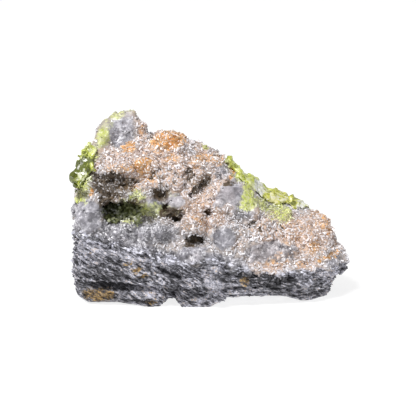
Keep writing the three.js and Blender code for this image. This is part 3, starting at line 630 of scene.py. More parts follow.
class Skin:
    """A closed surface of one rock, whose points are moved by arrays of numbers."""

    # Distance within which corners of a solid are one, in metres.
    DOUBLES = 1e-6
    # Heights between which points come free of the ground.
    SOLE = (0.05, 1.2)
    # How far under their surroundings points on a ridge and points deep in a hollow lie, in widths.
    HOLLOW = (-0.5, 0.9)

    def __init__(self, mesh: bpy.types.Mesh) -> None:
        """Wraps a mesh.

        Args:
            mesh: The mesh to work on, in metres.
        """
        self.mesh = mesh

    @classmethod
    def of_solid(cls, node: Node) -> Skin:
        """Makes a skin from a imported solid.

        Args:
            node: The solid's node.

        Returns:
            A closed copy with the solid's own faces; the node is left as it is.
        """
        copy = bpy.data.meshes.new(f"{node}_merged")
        merged = bmesh.new()
        merged.from_mesh(bpy.data.objects[node].data)
        bmesh.ops.remove_doubles(merged, verts=merged.verts, dist=cls.DOUBLES)
        merged.to_mesh(copy)
        merged.free()
        return cls(copy)

    def refined(self, voxel: float, settle: int, growths: Sequence[Scatter] = ()) -> Skin:
        """Makes a fine, even skin over this one and what grows on it.

        Args:
            voxel: Width of the new mesh's faces.
            settle: Rounds of smoothing, which soften the edges.
            growths: Lumps strewn over this skin and fused with it, one scatter on the other.

        Returns:
            The new skin.
        """
        holder = bpy.data.objects.new("refined_work", self.mesh)
        bpy.context.scene.collection.objects.link(holder)
        for growth in growths:
            growth.apply_to(holder, None)
        remesh = holder.modifiers.new("remesh", "REMESH")
        remesh.mode = "VOXEL"
        remesh.voxel_size = voxel * MM
        skin = Skin(taken_mesh(holder))
        skin.points = skin.relaxed(settle)
        return skin

    @property
    def points(self) -> Points:
        """The skin's points in millimetres.

        Returns:
            Rows of x, y, z.
        """
        flat = np.empty(len(self.mesh.vertices) * 3)
        self.mesh.vertices.foreach_get("co", flat)
        return flat.reshape(-1, 3) / MM

    @points.setter
    def points(self, places: Points) -> None:
        """Moves the skin's points to new places in millimetres."""
        self.mesh.vertices.foreach_set("co", (places * MM).ravel())
        self.mesh.update()

    @property
    def normals(self) -> Points:
        """The outward direction at each point.

        Returns:
            Rows of x, y, z, each of length 1.
        """
        flat = np.empty(len(self.mesh.vertices) * 3)
        self.mesh.vertex_normals.foreach_get("vector", flat)
        return flat.reshape(-1, 3)

    def steepness(self) -> Values:
        """How steep the skin is at each point: 0 where it is level, 1 on a wall."""
        return 1 - np.abs(self.normals[:, 2])

    def hollowness(self, rounds: int, width: float) -> Values:
        """How far each point lies in a hollow of about a width: 0 on a ridge, 1 deep inside."""
        sunk = np.einsum("ij,ij->i", self.relaxed(rounds) - self.points, self.normals)
        return eased(sunk / width, *self.HOLLOW)

    def distance_to(self, other: Skin) -> Values:
        """Distance from each point to the nearest point of another skin, in millimetres.

        Args:
            other: The skin to measure to.

        Returns:
            One distance for each point.
        """
        tree = KDTree(len(other.mesh.vertices))
        for index, place in enumerate(other.points):
            tree.insert(place, index)
        tree.balance()
        return np.array([tree.find(place)[2] for place in self.points])

    def relaxed(self, rounds: int) -> Points:
        """The points after rounds in which each moves half way to the middle of its neighbours.

        Args:
            rounds: How many times they move.

        Returns:
            The new places; the skin is left as it is.
        """
        pairs = np.empty(len(self.mesh.edges) * 2, dtype=np.int32)
        self.mesh.edges.foreach_get("vertices", pairs)
        a, b = pairs[0::2], pairs[1::2]
        places = self.points
        count = len(places)
        neighbours = np.bincount(a, minlength=count) + np.bincount(b, minlength=count)
        for _ in range(rounds):
            sums = [
                np.bincount(a, places[b, axis], count) + np.bincount(b, places[a, axis], count)
                for axis in range(3)
            ]
            places = 0.5 * places + 0.5 * np.stack(sums, axis=1) / neighbours[:, None]
        return places

    def ease_by(self, rounds: int, share: Values) -> None:
        """Moves each point by its share of the way that relaxing would take it."""
        places = self.points
        self.points = places + share[:, None] * (self.relaxed(rounds) - places)

    def raise_by(self, heights: Values | float) -> None:
        """Moves each point along its normal, and keeps the sole flat on the ground.

        Args:
            heights: Millimetres for each point, or for all of them.
        """
        places = self.points
        free = eased(places[:, 2], *self.SOLE)
        moved = places + self.normals * (heights * free)[:, None]
        moved[:, 2] = np.maximum(moved[:, 2], 0.0)
        self.points = moved

    def lower(self, depths: Values) -> None:
        """Moves each point straight down."""
        self.points = self.points - np.outer(depths, UP)

    def soften(self) -> None:
        """Shades the skin's faces as one curved surface."""
        count = len(self.mesh.polygons)
        self.mesh.polygons.foreach_set("use_smooth", np.ones(count, dtype=bool))

    def store(self, **marks: Values) -> None:
        """Keeps numbers from 0 to 1 for the materials and the scatters to read.

        Args:
            **marks: One number for each point, by the attribute's name.
        """
        attributes = self.mesh.attributes
        for name, values in marks.items():
            layer = attributes.get(name) or attributes.new(name, "FLOAT", "POINT")
            layer.data.foreach_set("value", np.clip(values, 0, 1).astype(np.float32))


def taken_mesh(holder: bpy.types.Object) -> bpy.types.Mesh:
    """A plain mesh of an object as its modifiers leave it; the object itself is removed.

    Args:
        holder: The object, which is in the scene.

    Returns:
        The mesh, with its modifiers applied.
    """
    evaluated = holder.evaluated_get(bpy.context.evaluated_depsgraph_get())
    mesh = bpy.data.meshes.new_from_object(evaluated)
    holder.modifiers.clear()
    bpy.data.objects.remove(holder)
    return mesh


# ---- Node graphs -------------------------------------------------------------------------------


class Wire:
    """A node's output. Arithmetic on it adds Math nodes to its graph."""

    def __init__(self, graph: Graph, socket: bpy.types.NodeSocket) -> None:
        """Wraps an output socket of a graph."""
        self.graph = graph
        self.socket = socket

    def other(self, name: str) -> Wire:
        """Another output of the same node."""
        return Wire(self.graph, self.socket.node.outputs[name])

    def _math(self, operation: str, first: Wire | float, second: Wire | float) -> Wire:
        """The result of a Math node on two values."""
        inputs = {"Value": first, "Value_001": second}
        return self.graph.add("ShaderNodeMath", {"operation": operation}, inputs)

    def __add__(self, other: Wire | float) -> Wire:
        """This plus another value."""
        return self._math("ADD", self, other)

    def __mul__(self, other: Wire | float) -> Wire:
        """This times another value."""
        return self._math("MULTIPLY", self, other)

    def __sub__(self, other: Wire | float) -> Wire:
        """This less another value."""
        return self._math("SUBTRACT", self, other)

    def __rsub__(self, other: Wire | float) -> Wire:
        """Another value less this."""
        return self._math("SUBTRACT", other, self)

    def __truediv__(self, other: Wire | float) -> Wire:
        """This divided by another value."""
        return self._math("DIVIDE", self, other)

    def __rtruediv__(self, other: Wire | float) -> Wire:
        """Another value divided by this."""
        return self._math("DIVIDE", other, self)

    def __pow__(self, other: Wire | float) -> Wire:
        """This to a power."""
        return self._math("POWER", self, other)

    def __rpow__(self, other: Wire | float) -> Wire:
        """Another value to this power."""
        return self._math("POWER", other, self)

    __radd__ = __add__
    __rmul__ = __mul__

    def swing(self, span: float) -> Wire:
        """This spread about zero: 0 to 1 becomes minus to plus half the span."""
        return (self - 0.5) * span

    def eased(self, low: float, high: float) -> Wire:
        """A smooth step from 0 at low to 1 at high; low may be the greater."""
        inputs = {"Value": self, "From Min": low, "From Max": high, "To Min": 0.0, "To Max": 1.0}
        return self.graph.add("ShaderNodeMapRange", {"interpolation_type": "SMOOTHSTEP"}, inputs)


class Graph:
    """A node tree under construction: a material's or a Geometry Nodes group's."""

    def __init__(self, tree: bpy.types.NodeTree) -> None:
        """Starts on an empty tree."""
        self.tree = tree
        tree.nodes.clear()

    def add(self, kind: str, settings: Mapping[str, Any], inputs: Mapping[str, Any]) -> Wire:
        """Adds one node.

        Args:
            kind: The node's type.
            settings: Its properties, which are set first.
            inputs: Wires or plain values, by the socket's identifier or name.

        Returns:
            The node's first output in use. An end node has none, and its first input stands in.
        """
        node = self.tree.nodes.new(kind)
        for key, value in settings.items():
            setattr(node, key, value)
        for key, value in inputs.items():
            socket = self._input(node, key)
            if isinstance(value, Wire):
                self.tree.links.new(value.socket, socket)
            else:
                socket.default_value = value
        outputs = [socket for socket in node.outputs if socket.enabled]
        return Wire(self, outputs[0] if outputs else node.inputs[0])

    @staticmethod
    def _input(node: bpy.types.Node, key: str) -> bpy.types.NodeSocket:
        """The node's input with that identifier, or else with that name.

        Args:
            node: The node.
            key: The identifier or name.

        Returns:
            The socket.
        """
        exact = [socket for socket in node.inputs if socket.identifier == key]
        named = [socket for socket in node.inputs if socket.name == key and socket.enabled]
        return (exact + named)[0]

    def vector(self, operation: str, a: Wire | Triple, b: Wire | Triple) -> Wire:
        """The result of a Vector Math node on two vectors."""
        inputs = {"Vector": a, "Vector_001": b}
        return self.add("ShaderNodeVectorMath", {"operation": operation}, inputs)


class Shading(Graph):
    """The node graph of one material, with the patterns that the finishes share."""

    def __init__(self, name: str) -> None:
        """Starts a material of that name.

        Args:
            name: The material's name.
        """
        self.material = bpy.data.materials.new(name)
        self.material.use_nodes = True
        super().__init__(self.material.node_tree)
        coordinates = self.add("ShaderNodeTexCoord", {}, {})
        self.place = self.vector("MULTIPLY", coordinates.other("Object"), (1 / MM,) * 3)

    def attribute(self, name: str) -> Wire:
        """A number that the mesh stores at its points."""
        return self.add("ShaderNodeAttribute", {"attribute_name": name}, {}).other("Fac")

    def noise(self, wave: float, detail: float = 3.0, place: Wire | None = None) -> Wire:
        """Smooth noise with a spacing in millimetres, about 0.3 to 0.7."""
        inputs = {"Vector": place or self.place, "Scale": 1 / wave, "Detail": detail}
        return self.add("ShaderNodeTexNoise", {}, inputs)

    def grains(self, wave: float) -> Wire:
        """A random number for each grain of a spacing in millimetres.

        Args:
            wave: Width of a grain.

        Returns:
            A value from 0 to 1.
        """
        inputs = {"Vector": self.place, "Scale": 1 / wave}
        cell = self.add("ShaderNodeTexVoronoi", {}, inputs)
        return self.add("ShaderNodeSeparateColor", {}, {"Color": cell.other("Color")})

    @staticmethod
    def _colour(value: Wire | Triple) -> Wire | tuple[float, ...]:
        """A wire as it is, or a plain colour with full alpha."""
        return value if isinstance(value, Wire) else (*value, 1.0)

    def mix(
        self, factor: Wire | float, a: Wire | Triple, b: Wire | Triple, blend: str = "MIX"
    ) -> Wire:
        """One colour turned into another by a factor.

        Args:
            factor: 0 for the first colour, 1 for the second.
            a: The first colour.
            b: The second colour.
            blend: How the second is laid on the first.

        Returns:
            The mixed colour.
        """
        settings = {"data_type": "RGBA", "blend_type": blend, "clamp_factor": True}
        inputs = {"Factor_Float": factor, "A_Color": self._colour(a), "B_Color": self._colour(b)}
        return self.add("ShaderNodeMix", settings, inputs)

    def dimmed(self, colour: Wire, brightness: Wire) -> Wire:
        """A colour times a brightness."""
        grey = {"Red": brightness, "Green": brightness, "Blue": brightness}
        return self.mix(1.0, colour, self.add("ShaderNodeCombineColor", {}, grey), "MULTIPLY")

    def wandering(self, wave: float, reach: float) -> Wire:
        """Places pushed about by smooth noise, so that what is drawn there wanders."""
        push = self.noise(wave, 1.0).other("Color")
        return self.vector("ADD", self.place, self.vector("MULTIPLY", push, (reach,) * 3))

    def ramp(self, factor: Wire, stops: Sequence[tuple[float, Triple]]) -> Wire:
        """A colour for each value from 0 to 1.

        Args:
            factor: The value.
            stops: Values and their colours, rising.

        Returns:
            The colour.
        """
        wire = self.add("ShaderNodeValToRGB", {}, {"Fac": factor})
        elements = wire.socket.node.color_ramp.elements
        for index, (position, colour) in enumerate(stops):
            element = elements[index] if index < len(elements) else elements.new(position)
            element.position = position
            element.color = self._colour(colour)
        return wire

    def bump(self, height: Wire, strength: float, depth: float) -> Wire:
        """A normal that follows a height in millimetres."""
        inputs = {"Strength": strength, "Distance": depth * MM, "Height": height}
        return self.add("ShaderNodeBump", {}, inputs)

    def finish(
        self, colour: Wire, roughness: Wire, normal: Wire, **constants: Any
    ) -> bpy.types.Material:
        """Ends the graph in a shader.

        Args:
            colour: The base colour.
            roughness: The roughness over the surface.
            normal: The bumped normal.
            **constants: Values of other sockets, by names with underscores for spaces.

        Returns:
            The finished material.
        """
        inputs = {"Base Color": colour, "Roughness": roughness, "Normal": normal}
        inputs.update({key.replace("_", " "): value for key, value in constants.items()})
        shader = self.add("ShaderNodeBsdfPrincipled", {}, inputs)
        self.add("ShaderNodeOutputMaterial", {}, {"Surface": shader})
        return self.material


# ---- Finishes ----------------------------------------------------------------------------------


@dataclass(frozen=True)
class GneissFinish:
    """Grey foliated rock: pale quartz and feldspar streaks between dark mica."""

    name: str
    flakes: bool = False
    grain: float = 0.5  # width of a grain
    streak: float = 0.56  # thickness of a streak
    squeeze: float = 0.25  # its thickness as a share of its length
    wander: tuple[float, float] = (3.4, 2.4)  # spacing and reach of its bends
    roughness: float = 0.7
    shine: float = 0.35  # how much less rough the pale streaks are
    specular: float = 0.6
    bump: tuple[float, float] = (0.6, 0.16)  # strength and depth
    dark: Triple = (0.036, 0.035, 0.04)
    middle: Triple = (0.24, 0.237, 0.27)
    pale: Triple = (0.68, 0.68, 0.77)
    rust: Triple = (0.14, 0.085, 0.03)
    gilt: Triple = (0.46, 0.30, 0.11)
    beige: Triple = (0.62, 0.53, 0.47)
    bister: Triple = (0.33, 0.24, 0.18)

    def value(self, shade: Shading, tone: Wire) -> Wire:
        """How pale the rock is: streaks along the layers, broken up by its grains.

        Args:
            shade: The material's graph.
            tone: A random number for each grain.

        Returns:
            About 0 where there is mica to 1 where there is quartz and feldspar.
        """
        place = shade.add("ShaderNodeSeparateXYZ", {}, {"Vector": shade.wandering(*self.wander)})
        x, y, z = place, place.other("Y"), place.other("Z")
        along = {"X": x * self.squeeze, "Y": y * self.squeeze, "Z": z + FOLIATION.rise(x)}
        streaks = shade.noise(self.streak, 3.0, shade.add("ShaderNodeCombineXYZ", {}, along))
        pale = shade.attribute("pale")
        value = (streaks - 0.5) * (3.7 - pale * 1.4)
        value = value + shade.noise(6.0, 2.0).swing(1.2) + tone.swing(0.45) + 0.5
        value = value + pale * 0.22 - shade.attribute("dark") * 0.5
        # Painted shade: the rock is darker in its hollows.
        return value - shade.attribute("hollow") * 0.32

    def _stained(self, shade: Shading, colour: Wire, value: Wire, tone: Wire) -> Wire:
        """Rust and gilt over the rock's colour, where it has iron.

        Args:
            shade: The material's graph.
            colour: The colour so far.
            value: How pale the rock is.
            tone: A random number for each grain.

        Returns:
            The stained colour.
        """
        rusty = (shade.attribute("rust") + tone.swing(0.6) + value.swing(0.4)).eased(0.2, 0.8)
        rust = shade.mix((value + tone * 0.3).eased(0.35, 1.1), self.rust, self.gilt)
        return shade.mix(rusty * 0.95, colour, rust)

    def _covered(self, shade: Shading, colour: Wire, tone: Wire) -> Wire:
        """Beige quartz over the rock's colour, where it reaches down over the rock.

        Args:
            shade: The material's graph.
            colour: The colour so far.
            tone: A random number for each grain.

        Returns:
            The covered colour.
        """
        speck = shade.noise(0.7)
        beige = shade.mix((speck + tone.swing(0.4)).eased(0.3, 0.6), self.bister, self.beige)
        covering = (shade.attribute("beige") + tone.swing(0.3) + (speck - 0.5)).eased(0.25, 0.6)
        return shade.mix(covering, colour, beige)

    def build(self) -> bpy.types.Material:
        """Makes the material.

        Returns:
            The finished material.
        """
        shade = Shading(self.name)
        grain = shade.grains(self.grain)
        tone = shade.attribute("tone") if self.flakes else grain
        value = self.value(shade, tone)
        colour = shade.ramp(value, ((0.0, self.dark), (0.5, self.middle), (1.0, self.pale)))
        colour = self._stained(shade, colour, value, tone)
        colour = self._covered(shade, colour, tone)
        return shade.finish(
            colour,
            self.roughness - value.eased(0.5, 1.0) * self.shine,
            shade.bump(value + grain * 0.5, *self.bump),
            Specular_IOR_Level=self.specular,
        )


class QuartzShading(Shading):
    """The graph of a quartz finish, with the marks and the noise that its layers share."""

    # Spacings of the grains, the fine specks and the slow drift of its colours.
    GRAIN = 0.8
    SPECK = 0.7
    DRIFT = 3.0

    def __init__(self, name: str, crystals: bool) -> None:
        """Starts the graph.

        Args:
            name: The material's name.
            crystals: Whether it is for scattered crystals, which have a tone of their own.
        """
        super().__init__(name)
        self.grain = self.attribute("tone") if crystals else self.grains(self.GRAIN)
        self.speck = self.noise(self.SPECK)
        self.drift = self.noise(self.DRIFT, 2.0)
        self.worn, self.white, self.warm, self.edge, self.hollow, self.earth = (
            self.attribute(mark) for mark in ("worn", "white", "blush", "edge", "hollow", "earth")
        )
        self.calm = 1.0 - self.worn * 0.55
        self.jitter = (self.grain.swing(0.9) + self.speck.swing(1.2)) * self.calm
        self.glassy = (self.attribute("glassy") + self.jitter * 0.25).eased(0.2, 0.75)


@dataclass(frozen=True)
class QuartzFinish:
    """Milky to lilac-grey quartz, with iron, green, earth and painted shade on it in patches."""

    name: str
    crystals: bool = False
    clarity: float = 0.0  # how far light goes through it
    clean: float = 0.0  # how well crystals keep clear of the stains
    roughness: float = 0.42
    shine: float = 0.1  # how much less rough glassy quartz is
    index: float = 1.54  # of refraction
    bump: tuple[float, float] = (0.5, 0.16)  # strength and depth
    milky: Triple = (0.93, 0.915, 0.955)
    bed: Triple = (0.44, 0.39, 0.37)
    lilac: Triple = (0.125, 0.12, 0.134)
    frost: Triple = (0.39, 0.378, 0.415)
    satin: Triple = (0.39, 0.375, 0.43)
    blush: Triple = (0.85, 0.69, 0.63)
    bister: Triple = (0.57, 0.415, 0.325)
    honey: Triple = (0.90, 0.64, 0.39)
    amber: Triple = (0.74, 0.41, 0.17)
    rust: Triple = (0.52, 0.21, 0.05)
    green: Triple = (0.56, 0.63, 0.10)
    lime: Triple = (0.72, 0.73, 0.37)
    moss: Triple = (0.12, 0.125, 0.016)
    # Brown of the earth in the hollows, also used for the painted shade there.
    earth: Triple = (0.09, 0.06, 0.032)
    rock: GneissFinish = GneissFinish("gneiss under quartz")

    def _glass(self, shade: QuartzShading) -> Wire:
        """Lilac to frosted quartz, with white streaks and edges.

        Args:
            shade: The material's graph.

        Returns:
            The colour of bare quartz.
        """
        frosty = shade.drift * 0.8 + shade.attribute("facet") * 0.45 + shade.jitter * 0.16
        glass = shade.mix((frosty + shade.edge * 0.15).eased(0.35, 0.85), self.lilac, self.frost)
        glass = shade.mix(shade.worn * (shade.drift * 0.6), glass, self.satin)
        glass = shade.mix(shade.white * shade.worn * 0.45, glass, self.milky)
        streak = shade.noise(0.8, 2.0, shade.wandering(2.0, 1.6)) + shade.edge * 0.12
        streak = (streak + shade.drift.swing(0.3)).eased(0.56, 0.7)
        glass = shade.mix(streak * (shade.calm - 0.25), glass, self.milky)
        return shade.mix(shade.grain.eased(0.55, 0.8) * (self.clean * 0.6), glass, self.milky)

    def _stained(self, shade: QuartzShading, colour: Wire) -> Wire:
        """The pink film and the iron over a colour, which clean crystals and white druse shed.

        Args:
            shade: The material's graph.
            colour: The colour so far.

        Returns:
            The stained colour.
        """
        film, iron = (self.blush, self.honey) if self.crystals else (self.bister, self.amber)
        hold = (1.0 - shade.grain.eased(0.2, 0.6) * self.clean) * (1.0 - shade.white * self.clean)
        pink = shade.warm * (shade.drift + 0.5) + shade.jitter * 0.3 + shade.hollow * 0.2
        pink = pink.eased(0.1, 0.9) * (1.0 - shade.glassy * 0.85)
        colour = shade.mix(pink * hold, colour, film)
        rusty = shade.attribute("iron") * (shade.drift + 0.55) + shade.jitter * 0.36
        rusty = rusty + shade.hollow * 0.25
        colour = shade.mix(rusty.eased(0.2, 0.85) * hold, colour, iron)
        return shade.mix(rusty.eased(0.75, 1.25) * hold, colour, self.rust)

    def _greened(self, shade: QuartzShading, colour: Wire) -> Wire:
        """The green film over a colour.

        Args:
            shade: The material's graph.
            colour: The colour so far.

        Returns:
            The greened colour.
        """
        film = (shade.attribute("green") + shade.jitter * 0.55).eased(0.2, 0.85)
        greens = shade.mix(shade.speck.eased(0.4, 0.62), self.green, self.lime)
        dark = (shade.attribute("deep") + shade.jitter * 0.5).eased(0.2, 0.9)
        return shade.mix(film * 0.9, colour, shade.mix(dark, greens, self.moss))

    def _grounded(self, shade: QuartzShading, colour: Wire) -> Wire:
        """Gneiss over a colour near the contact, and earth and painted shade over it in the
        hollows.

        Args:
            shade: The material's graph.
            colour: The colour so far.

        Returns:
            The colour with rock, earth and painted shade.
        """
        rocky = (shade.attribute("rocky") + shade.jitter * 0.45).eased(0.25, 0.8)
        tones = ((0.0, self.rock.dark), (0.45, self.rock.middle), (0.9, self.rock.pale))
        colour = shade.mix(rocky, colour, shade.ramp(self.rock.value(shade, shade.grain), tones))
        # Earth patches and every hollow darken it: partly earth, partly painted shade.
        dirt_and_shade = shade.earth + shade.hollow * (0.47 - shade.warm * 0.24 + shade.white * 0.5)
        kept = shade.grain.eased(0.55, 0.85) * self.clean * (1.25 - shade.earth**2.0)
        dirt_and_shade = (dirt_and_shade + shade.jitter * 0.3).eased(0.34, 0.9)
        return shade.mix(dirt_and_shade * (1.0 - kept) * 0.95, colour, self.earth)

    def build(self) -> bpy.types.Material:
        """Makes the material.

        Returns:
            The finished material.
        """
        shade = QuartzShading(self.name, self.crystals)
        ground = self.milky if self.crystals else self.bed
        colour = shade.mix(shade.glassy, ground, self._glass(shade))
        for layer in (self._stained, self._greened, self._grounded):
            colour = layer(shade, colour)
        return shade.finish(
            shade.dimmed(colour, 0.9 + (shade.grain - 0.5) * shade.calm * 0.48),
            self.roughness - shade.glassy * self.shine,
            shade.bump(shade.speck + shade.grain * 0.5, *self.bump),
            Transmission_Weight=self.clarity,
            IOR=self.index,
        )


@dataclass(frozen=True)
class PyromorphiteFinish:
    """Yellow-green resinous crystals: pale where fine, dark where deep green, with painted shade in
    hollows.
    """

    name: str
    clarity: float = 0.0  # how far light goes through it
    crystals: bool = True
    grain: float = 1.0  # width of a grain of the crust
    roughness: float = 0.2
    specular: float = 0.35
    index: float = 1.9  # of refraction
    bump: tuple[float, float] = (0.3, 0.2)  # strength and depth
    deep: Triple = (0.12, 0.145, 0.01)
    green: Triple = (0.62, 0.68, 0.10)
    yellow: Triple = (0.80, 0.83, 0.42)
    pale: Triple = (0.84, 0.84, 0.80)
    sunny: Triple = (1.05, 0.96, 0.95)

    def build(self) -> bpy.types.Material:
        """Makes the material.

        Returns:
            The finished material.
        """
        shade = Shading(self.name)
        tone = shade.attribute("tone") if self.crystals else shade.grains(self.grain)
        speck = shade.noise(1.3)
        value = tone.swing(0.5) + speck.swing(1.3) + shade.noise(5.0, 2.0).swing(1.8) + 0.66
        # Painted shade in the hollows, and darker where the crust is deep green, which in the vug
        # is painted shade too.
        value = value - shade.attribute("hollow") * 0.3 - shade.attribute("deep") * 0.72
        value = value - shade.noise(9.0, 1.0).eased(0.5, 0.7) * 0.2
        colour = shade.ramp(value, ((0.0, self.deep), (0.46, self.green), (0.85, self.yellow)))
        yellower = shade.mix(1.0, colour, self.sunny, "MULTIPLY")
        colour = shade.mix(shade.attribute("sunny"), colour, yellower)
        whitish = shade.attribute("pale") + tone.swing(0.6) + speck.swing(1.2)
        return shade.finish(
            shade.mix(whitish.eased(0.2, 0.9), colour, self.pale),
            self.roughness + speck * 0.2,
            shade.bump(speck, *self.bump),
            Transmission_Weight=self.clarity,
            Specular_IOR_Level=self.specular,
            IOR=self.index,
        )


# ---- Scatters ----------------------------------------------------------------------------------


class Habit(Enum):
    """The form that a scattered crystal or lump has."""

    POINT = "six-sided prism with a pointed end"
    BARREL = "stubby six-sided prism"
    GRAIN = "blocky grain, turned at random"
    KNOB = "rounded lump, turned at random"
    FLAKE = "thin six-sided plate"


class Draw(IntEnum):
    """What each random number of a crystal is for; its value is the seed of the draw."""

    LEAN_ACROSS = 1
    LEAN_ALONG = 2
    SPIN = 3
    SIZE = 4
    REACH = 5
    TONE = 6
    BREADTH = 7


@dataclass(frozen=True)
class Scatter:
    """Small crystals strewn over a skin, all of one habit."""

    name: str
    habit: Habit
    mask: str  # the mark on the skin that says how thickly they stand
    spacing: float
    radius: tuple[float, float]  # the least and the greatest
    length: tuple[float, float]  # the least and the greatest
    lean: float  # the most that one leans over, in radians
    seed: int
    upright: Triple | None = None  # which way they stand, if not along the skin's normal
    sunk: float = 0.25  # how far the foot or middle is under the skin, as a share of the length
    fused: bool = False  # whether the skin itself stays in the mesh

    # Sides of a prism, sizes of a blocky grain, and how finely a knob is rounded.
    SIDES = 6
    GRAIN = (0.9, 2.4, 0.9)
    ROUNDNESS = 2
    # Radius of a barrel's top, and heights of a point's shaft and tip.
    BLUNT = 0.82
    SHAFT = 0.4
    TIP = 0.6
    # Places that are tried for each that the spacing has room for.
    TRIES = 2.0
    # How far a crystal's length goes with its width, and its breadth as a share of its width.
    LIKENESS = 0.6
    BREADTH = (0.75, 1.25)

    def _form(self, graph: Graph) -> Wire:
        """One crystal of about radius 1 and length 1, with its foot or middle at the origin.

        Args:
            graph: The group's graph.

        Returns:
            The crystal's geometry.
        """
        if self.habit is Habit.GRAIN:
            return graph.add("GeometryNodeMeshCube", {}, {"Size": self.GRAIN})
        if self.habit is Habit.KNOB:
            ball = {"Radius": 1.0, "Subdivisions": self.ROUNDNESS}
            return graph.add("GeometryNodeMeshIcoSphere", {}, ball)
        if self.habit is Habit.BARREL:
            return self._tapered(graph, self.BLUNT, 1.0)
        prism = {"Vertices": self.SIDES, "Radius": 1.0, "Depth": 1.0}
        shaft = graph.add("GeometryNodeMeshCylinder", {}, prism)
        if self.habit is Habit.FLAKE:
            return shaft
        low = self._moved(graph, shaft, (0.0, 0.0, self.SHAFT / 2), (1.0, 1.0, self.SHAFT))
        high = self._moved(graph, self._tapered(graph, 0.0, self.TIP), (0.0, 0.0, self.SHAFT))
        return self._joined(graph, (low, high))

    def _tapered(self, graph: Graph, top: float, height: float) -> Wire:
        """A prism of radius 1 that narrows to another radius at its top."""
        sizes = {"Vertices": self.SIDES, "Radius Top": top, "Radius Bottom": 1.0, "Depth": height}
        return graph.add("GeometryNodeMeshCone", {}, sizes)

    @staticmethod
    def _moved(
        graph: Graph, form: Wire, shift: Triple, scale: Triple = (1.0, 1.0, 1.0)
    ) -> Wire:
        """A form shifted and scaled."""
        inputs = {"Geometry": form, "Translation": shift, "Scale": scale}
        return graph.add("GeometryNodeTransform", {}, inputs)

    @staticmethod
    def _joined(graph: Graph, forms: Sequence[Wire]) -> Wire:
        """Several forms as one geometry.

        Args:
            graph: The group's graph.
            forms: The geometries.

        Returns:
            The joined geometry.
        """
        joined = graph.add("GeometryNodeJoinGeometry", {}, {})
        target = joined.socket.node.inputs[0]
        for form in forms:
            graph.tree.links.new(form.socket, target)
        return joined

    @staticmethod
    def _random(
        graph: Graph, draw: Draw, low: Wire | float = 0.0, high: Wire | float = 1.0
    ) -> Wire:
        """A random number for each crystal."""
        inputs = {"Min_001": low, "Max_001": high, "Seed": int(draw)}
        return graph.add("FunctionNodeRandomValue", {"data_type": "FLOAT"}, inputs)

    def _sockets(self, group: bpy.types.NodeTree) -> None:
        """Gives the group its named inputs and its output.

        Args:
            group: The node group.
        """
        sockets = (
            ("Skin", "NodeSocketGeometry", None),
            ("Spacing", "NodeSocketFloat", self.spacing * MM),
            ("Smallest Radius", "NodeSocketFloat", self.radius[0] * MM),
            ("Largest Radius", "NodeSocketFloat", self.radius[1] * MM),
            ("Shortest", "NodeSocketFloat", self.length[0] * MM),
            ("Longest", "NodeSocketFloat", self.length[1] * MM),
            ("Lean", "NodeSocketFloat", self.lean),
            ("Seed", "NodeSocketInt", self.seed),
            ("Finish", "NodeSocketMaterial", None),
        )
        for name, kind, value in sockets:
            socket = group.interface.new_socket(name, in_out="INPUT", socket_type=kind)
            if value is not None:
                socket.default_value = value
        group.interface.new_socket("Crystals", in_out="OUTPUT", socket_type="NodeSocketGeometry")

    def _strewn(self, graph: Graph, given: Wire) -> Wire:
        """The places of the crystals, with the skin's normal as another output.

        Args:
            graph: The group's graph.
            given: The group's inputs.

        Returns:
            Points on the skin.
        """
        number = {"data_type": "FLOAT"}
        mask = graph.add("GeometryNodeInputNamedAttribute", number, {"Name": self.mask})
        spacing = given.other("Spacing")
        inputs = {
            "Mesh": given.other("Skin"),
            "Distance Min": spacing,
            "Density Max": self.TRIES / (spacing * spacing),
            "Density Factor": mask,
            "Seed": given.other("Seed"),
        }
        settings = {"distribute_method": "POISSON"}
        return graph.add("GeometryNodeDistributePointsOnFaces", settings, inputs)

    def _turn(self, graph: Graph, given: Wire, axis: Wire | Triple) -> Wire:
        """The turn of each crystal: along an axis, then leaning and spun at random.

        Args:
            graph: The group's graph.
            given: The group's inputs.
            axis: The way that the crystals stand before they lean.

        Returns:
            A rotation for each point.
        """
        turn = graph.add("FunctionNodeAlignRotationToVector", {"axis": "Z"}, {"Vector": axis})
        lean = given.other("Lean")
        angles = {
            "X": self._random(graph, Draw.LEAN_ACROSS, 0.0 - lean, lean),
            "Y": self._random(graph, Draw.LEAN_ALONG, 0.0 - lean, lean),
            "Z": self._random(graph, Draw.SPIN, 0.0, math.tau),
        }
        vector = graph.add("ShaderNodeCombineXYZ", {}, angles)
        euler = graph.add("FunctionNodeEulerToRotation", {}, {"Euler": vector})
        inputs = {"Rotation": turn, "Rotate By": euler}
        return graph.add("FunctionNodeRotateRotation", {"rotation_space": "LOCAL"}, inputs)

    def _scale(self, graph: Graph, given: Wire) -> Wire:
        """The size of each crystal: many small ones and few large.

        Args:
            graph: The group's graph.
            given: The group's inputs.

        Returns:
            A scale for each point: width, breadth and length.
        """
        share = self._random(graph, Draw.SIZE) ** 2.0
        smallest, shortest = given.other("Smallest Radius"), given.other("Shortest")
        radius = smallest + (given.other("Largest Radius") - smallest) * share
        reach = share * self.LIKENESS
        reach = reach + self._random(graph, Draw.REACH, 0.0, 1 - self.LIKENESS)
        length = shortest + (given.other("Longest") - shortest) * reach
        breadth = radius * self._random(graph, Draw.BREADTH, *self.BREADTH)
        return graph.add("ShaderNodeCombineXYZ", {}, {"X": radius, "Y": breadth, "Z": length})

